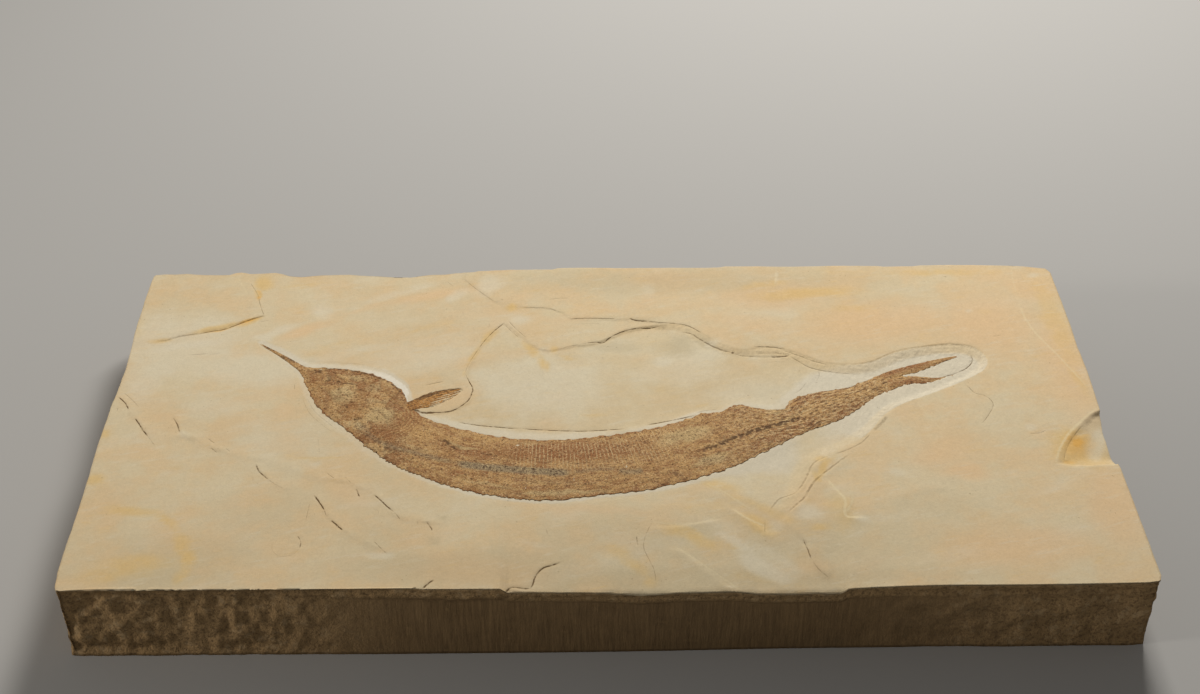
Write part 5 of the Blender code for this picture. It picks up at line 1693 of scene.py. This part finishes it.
def bone_finish():
    """Brown fossil bone with scale rows, speckles and ragged dark edges."""
    bone = Finish("fossil bone")
    along, aside = bone.mark("along"), bone.mark("aside")
    body_place = bone.node("ShaderNodeCombineXYZ", None, {0: along * MM, 1: aside * MM, 2: 0.0})
    lengthwise = bone.node("ShaderNodeMapping", None, {"Vector": body_place, "Scale": (0.3, 1.0, 1.0)})
    blotch = bone.noise(13.0, 4.0, 0.6)
    mottle = bone.noise(5.5, 5.0, 0.68)
    fine = bone.noise(1.9, 4.0, 0.72)
    flecks = bone.noise(2.6, 3.0, 0.65)
    fibre = bone.noise(2.0, 3.0, 0.6, lengthwise)
    strands = bone.noise(4.2, 4.0, 0.65, lengthwise)
    wobble = bone.node("ShaderNodeTexNoise", None, {"Vector": bone.place, "Scale": 250.0}, output=1)
    wobble = bone.node("ShaderNodeVectorMath", {"operation": "SCALE"}, {0: wobble, "Scale": 0.0022})
    wobbled = bone.node("ShaderNodeVectorMath", {"operation": "ADD"}, {0: bone.place, 1: wobble})
    net = bone.step(bone.seam_gap(3.0, wobbled), 0.16, 0.03)

    tone = bone.mark("tone")
    golden = bone.step(0.4 * mottle + 0.25 * blotch + 0.35 * strands + 0.18 * tone, 0.42, 0.58)
    colour = bone.layers(
        BONE_BROWN,
        (BONE_GOLD, 0.85 * golden),
        (BONE_GOLD, 0.75 * bone.ragged("gold", mottle)),
        (BONE_RED, 0.8 * bone.ragged("red", mottle)),
        (BONE_TAN, 0.85 * bone.ragged("tan", mottle)),
        (BONE_ORANGE, 0.85 * bone.mark("fin")),
        (BONE_RED, 0.35 * (-tone).at_least(0.0)),
        (BONE_PALE, 0.5 * tone.at_least(0.0) * bone.step(mottle, 0.4, 0.55)),
        (BONE_RED, 0.45 * bone.step(strands, 0.46, 0.34)),
    )

    rows, grey = bone.mark("rows"), bone.mark("grey")
    waves = (along + 1.8 * bone.noise(9.0, 2.0) + 0.05 * aside) * (2.0 * math.pi / ROW_PITCH)
    wave = bone.node("ShaderNodeMath", {"operation": "SINE"}, {0: waves})
    row_line = bone.step(wave, 0.3, 0.95) * bone.step(bone.noise(6.0, 3.0), 0.36, 0.52)
    colour = bone.layers(
        colour,
        (BONE_PALE, 0.55 * rows * row_line),
        (BONE_GREY, 0.8 * bone.ragged(grey, mottle)),
        (BONE_DARK, 0.85 * grey * bone.step(flecks, 0.49, 0.38)),
        (BONE_TAN, 0.6 * grey * bone.step(flecks, 0.55, 0.66)),
    )

    netted = bone.mark("netted")
    elsewhere = 0.75 - 0.3 * netted
    colour = bone.layers(
        colour,
        (BONE_PALE, (0.22 + 0.3 * netted) * net * bone.step(blotch, 0.34, 0.55)),
        (BONE_GOLD, 0.7 * netted * bone.step(strands, 0.5, 0.62)),
        (BONE_DARK, 0.35 * netted * bone.step(strands, 0.42, 0.32)),
        (BONE_PALE, 0.7 * netted * bone.step(fibre, 0.54, 0.62)),
        (BONE_DARK, 0.7 * netted * bone.step(fibre, 0.48, 0.38)),
        (BONE_RED, 0.3 * netted * bone.step(flecks, 0.48, 0.38)),
        (BONE_DARK, elsewhere * bone.step(fine, 0.46, 0.35)),
        (BONE_PALE, elsewhere * bone.step(fine, 0.56, 0.68)),
        (BONE_DARK, 0.5 * bone.step(flecks, 0.42, 0.32)),
        (BONE_DARK, 0.35 * bone.mark("seam") * bone.step(mottle, 0.42, 0.55)),
        (BONE_RED, 0.6 * bone.mark("arcs")),
        (BONE_DARK, 0.8 * bone.ragged("dark", bone.noise(3.0, 4.0, 0.6))),
        (BONE_WHITE, 0.9 * bone.step(bone.mark("white") + 0.6 * fine, 0.85, 1.1)),
        (CREAM, 0.9 * bone.step(bone.mark("fin_gap") + 0.4 * fine, 0.45, 0.85)),
    )

    speckle = bone.noise(0.95, 2.0, 0.6)
    colour = bone.shade(colour, 1.0 + (1.05 + 0.2 * netted) * (speckle - 0.5))

    height = 0.55 * fine + 0.3 * flecks + 0.3 * fibre + 0.14 * rows * row_line + 0.12 * net
    roughness = 0.62 + 0.25 * mottle
    return bone.close(colour, roughness, height)


slab_stone.data.materials.append(limestone_finish())
fish_relief.data.materials.append(bone_finish())

# %% [markdown]
# ## Measure and finish
# Both boxes are printed: the imported model's and that of the finer shapes. The finer shapes must
# fill the imported model's box and not pass it.

# %% Print both boxes and finish
visual_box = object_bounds()
for name, box in (("packed model", model_box), ("visual model", visual_box)):
    print(name, [[round(value / MM, 2) for value in corner] for corner in box])
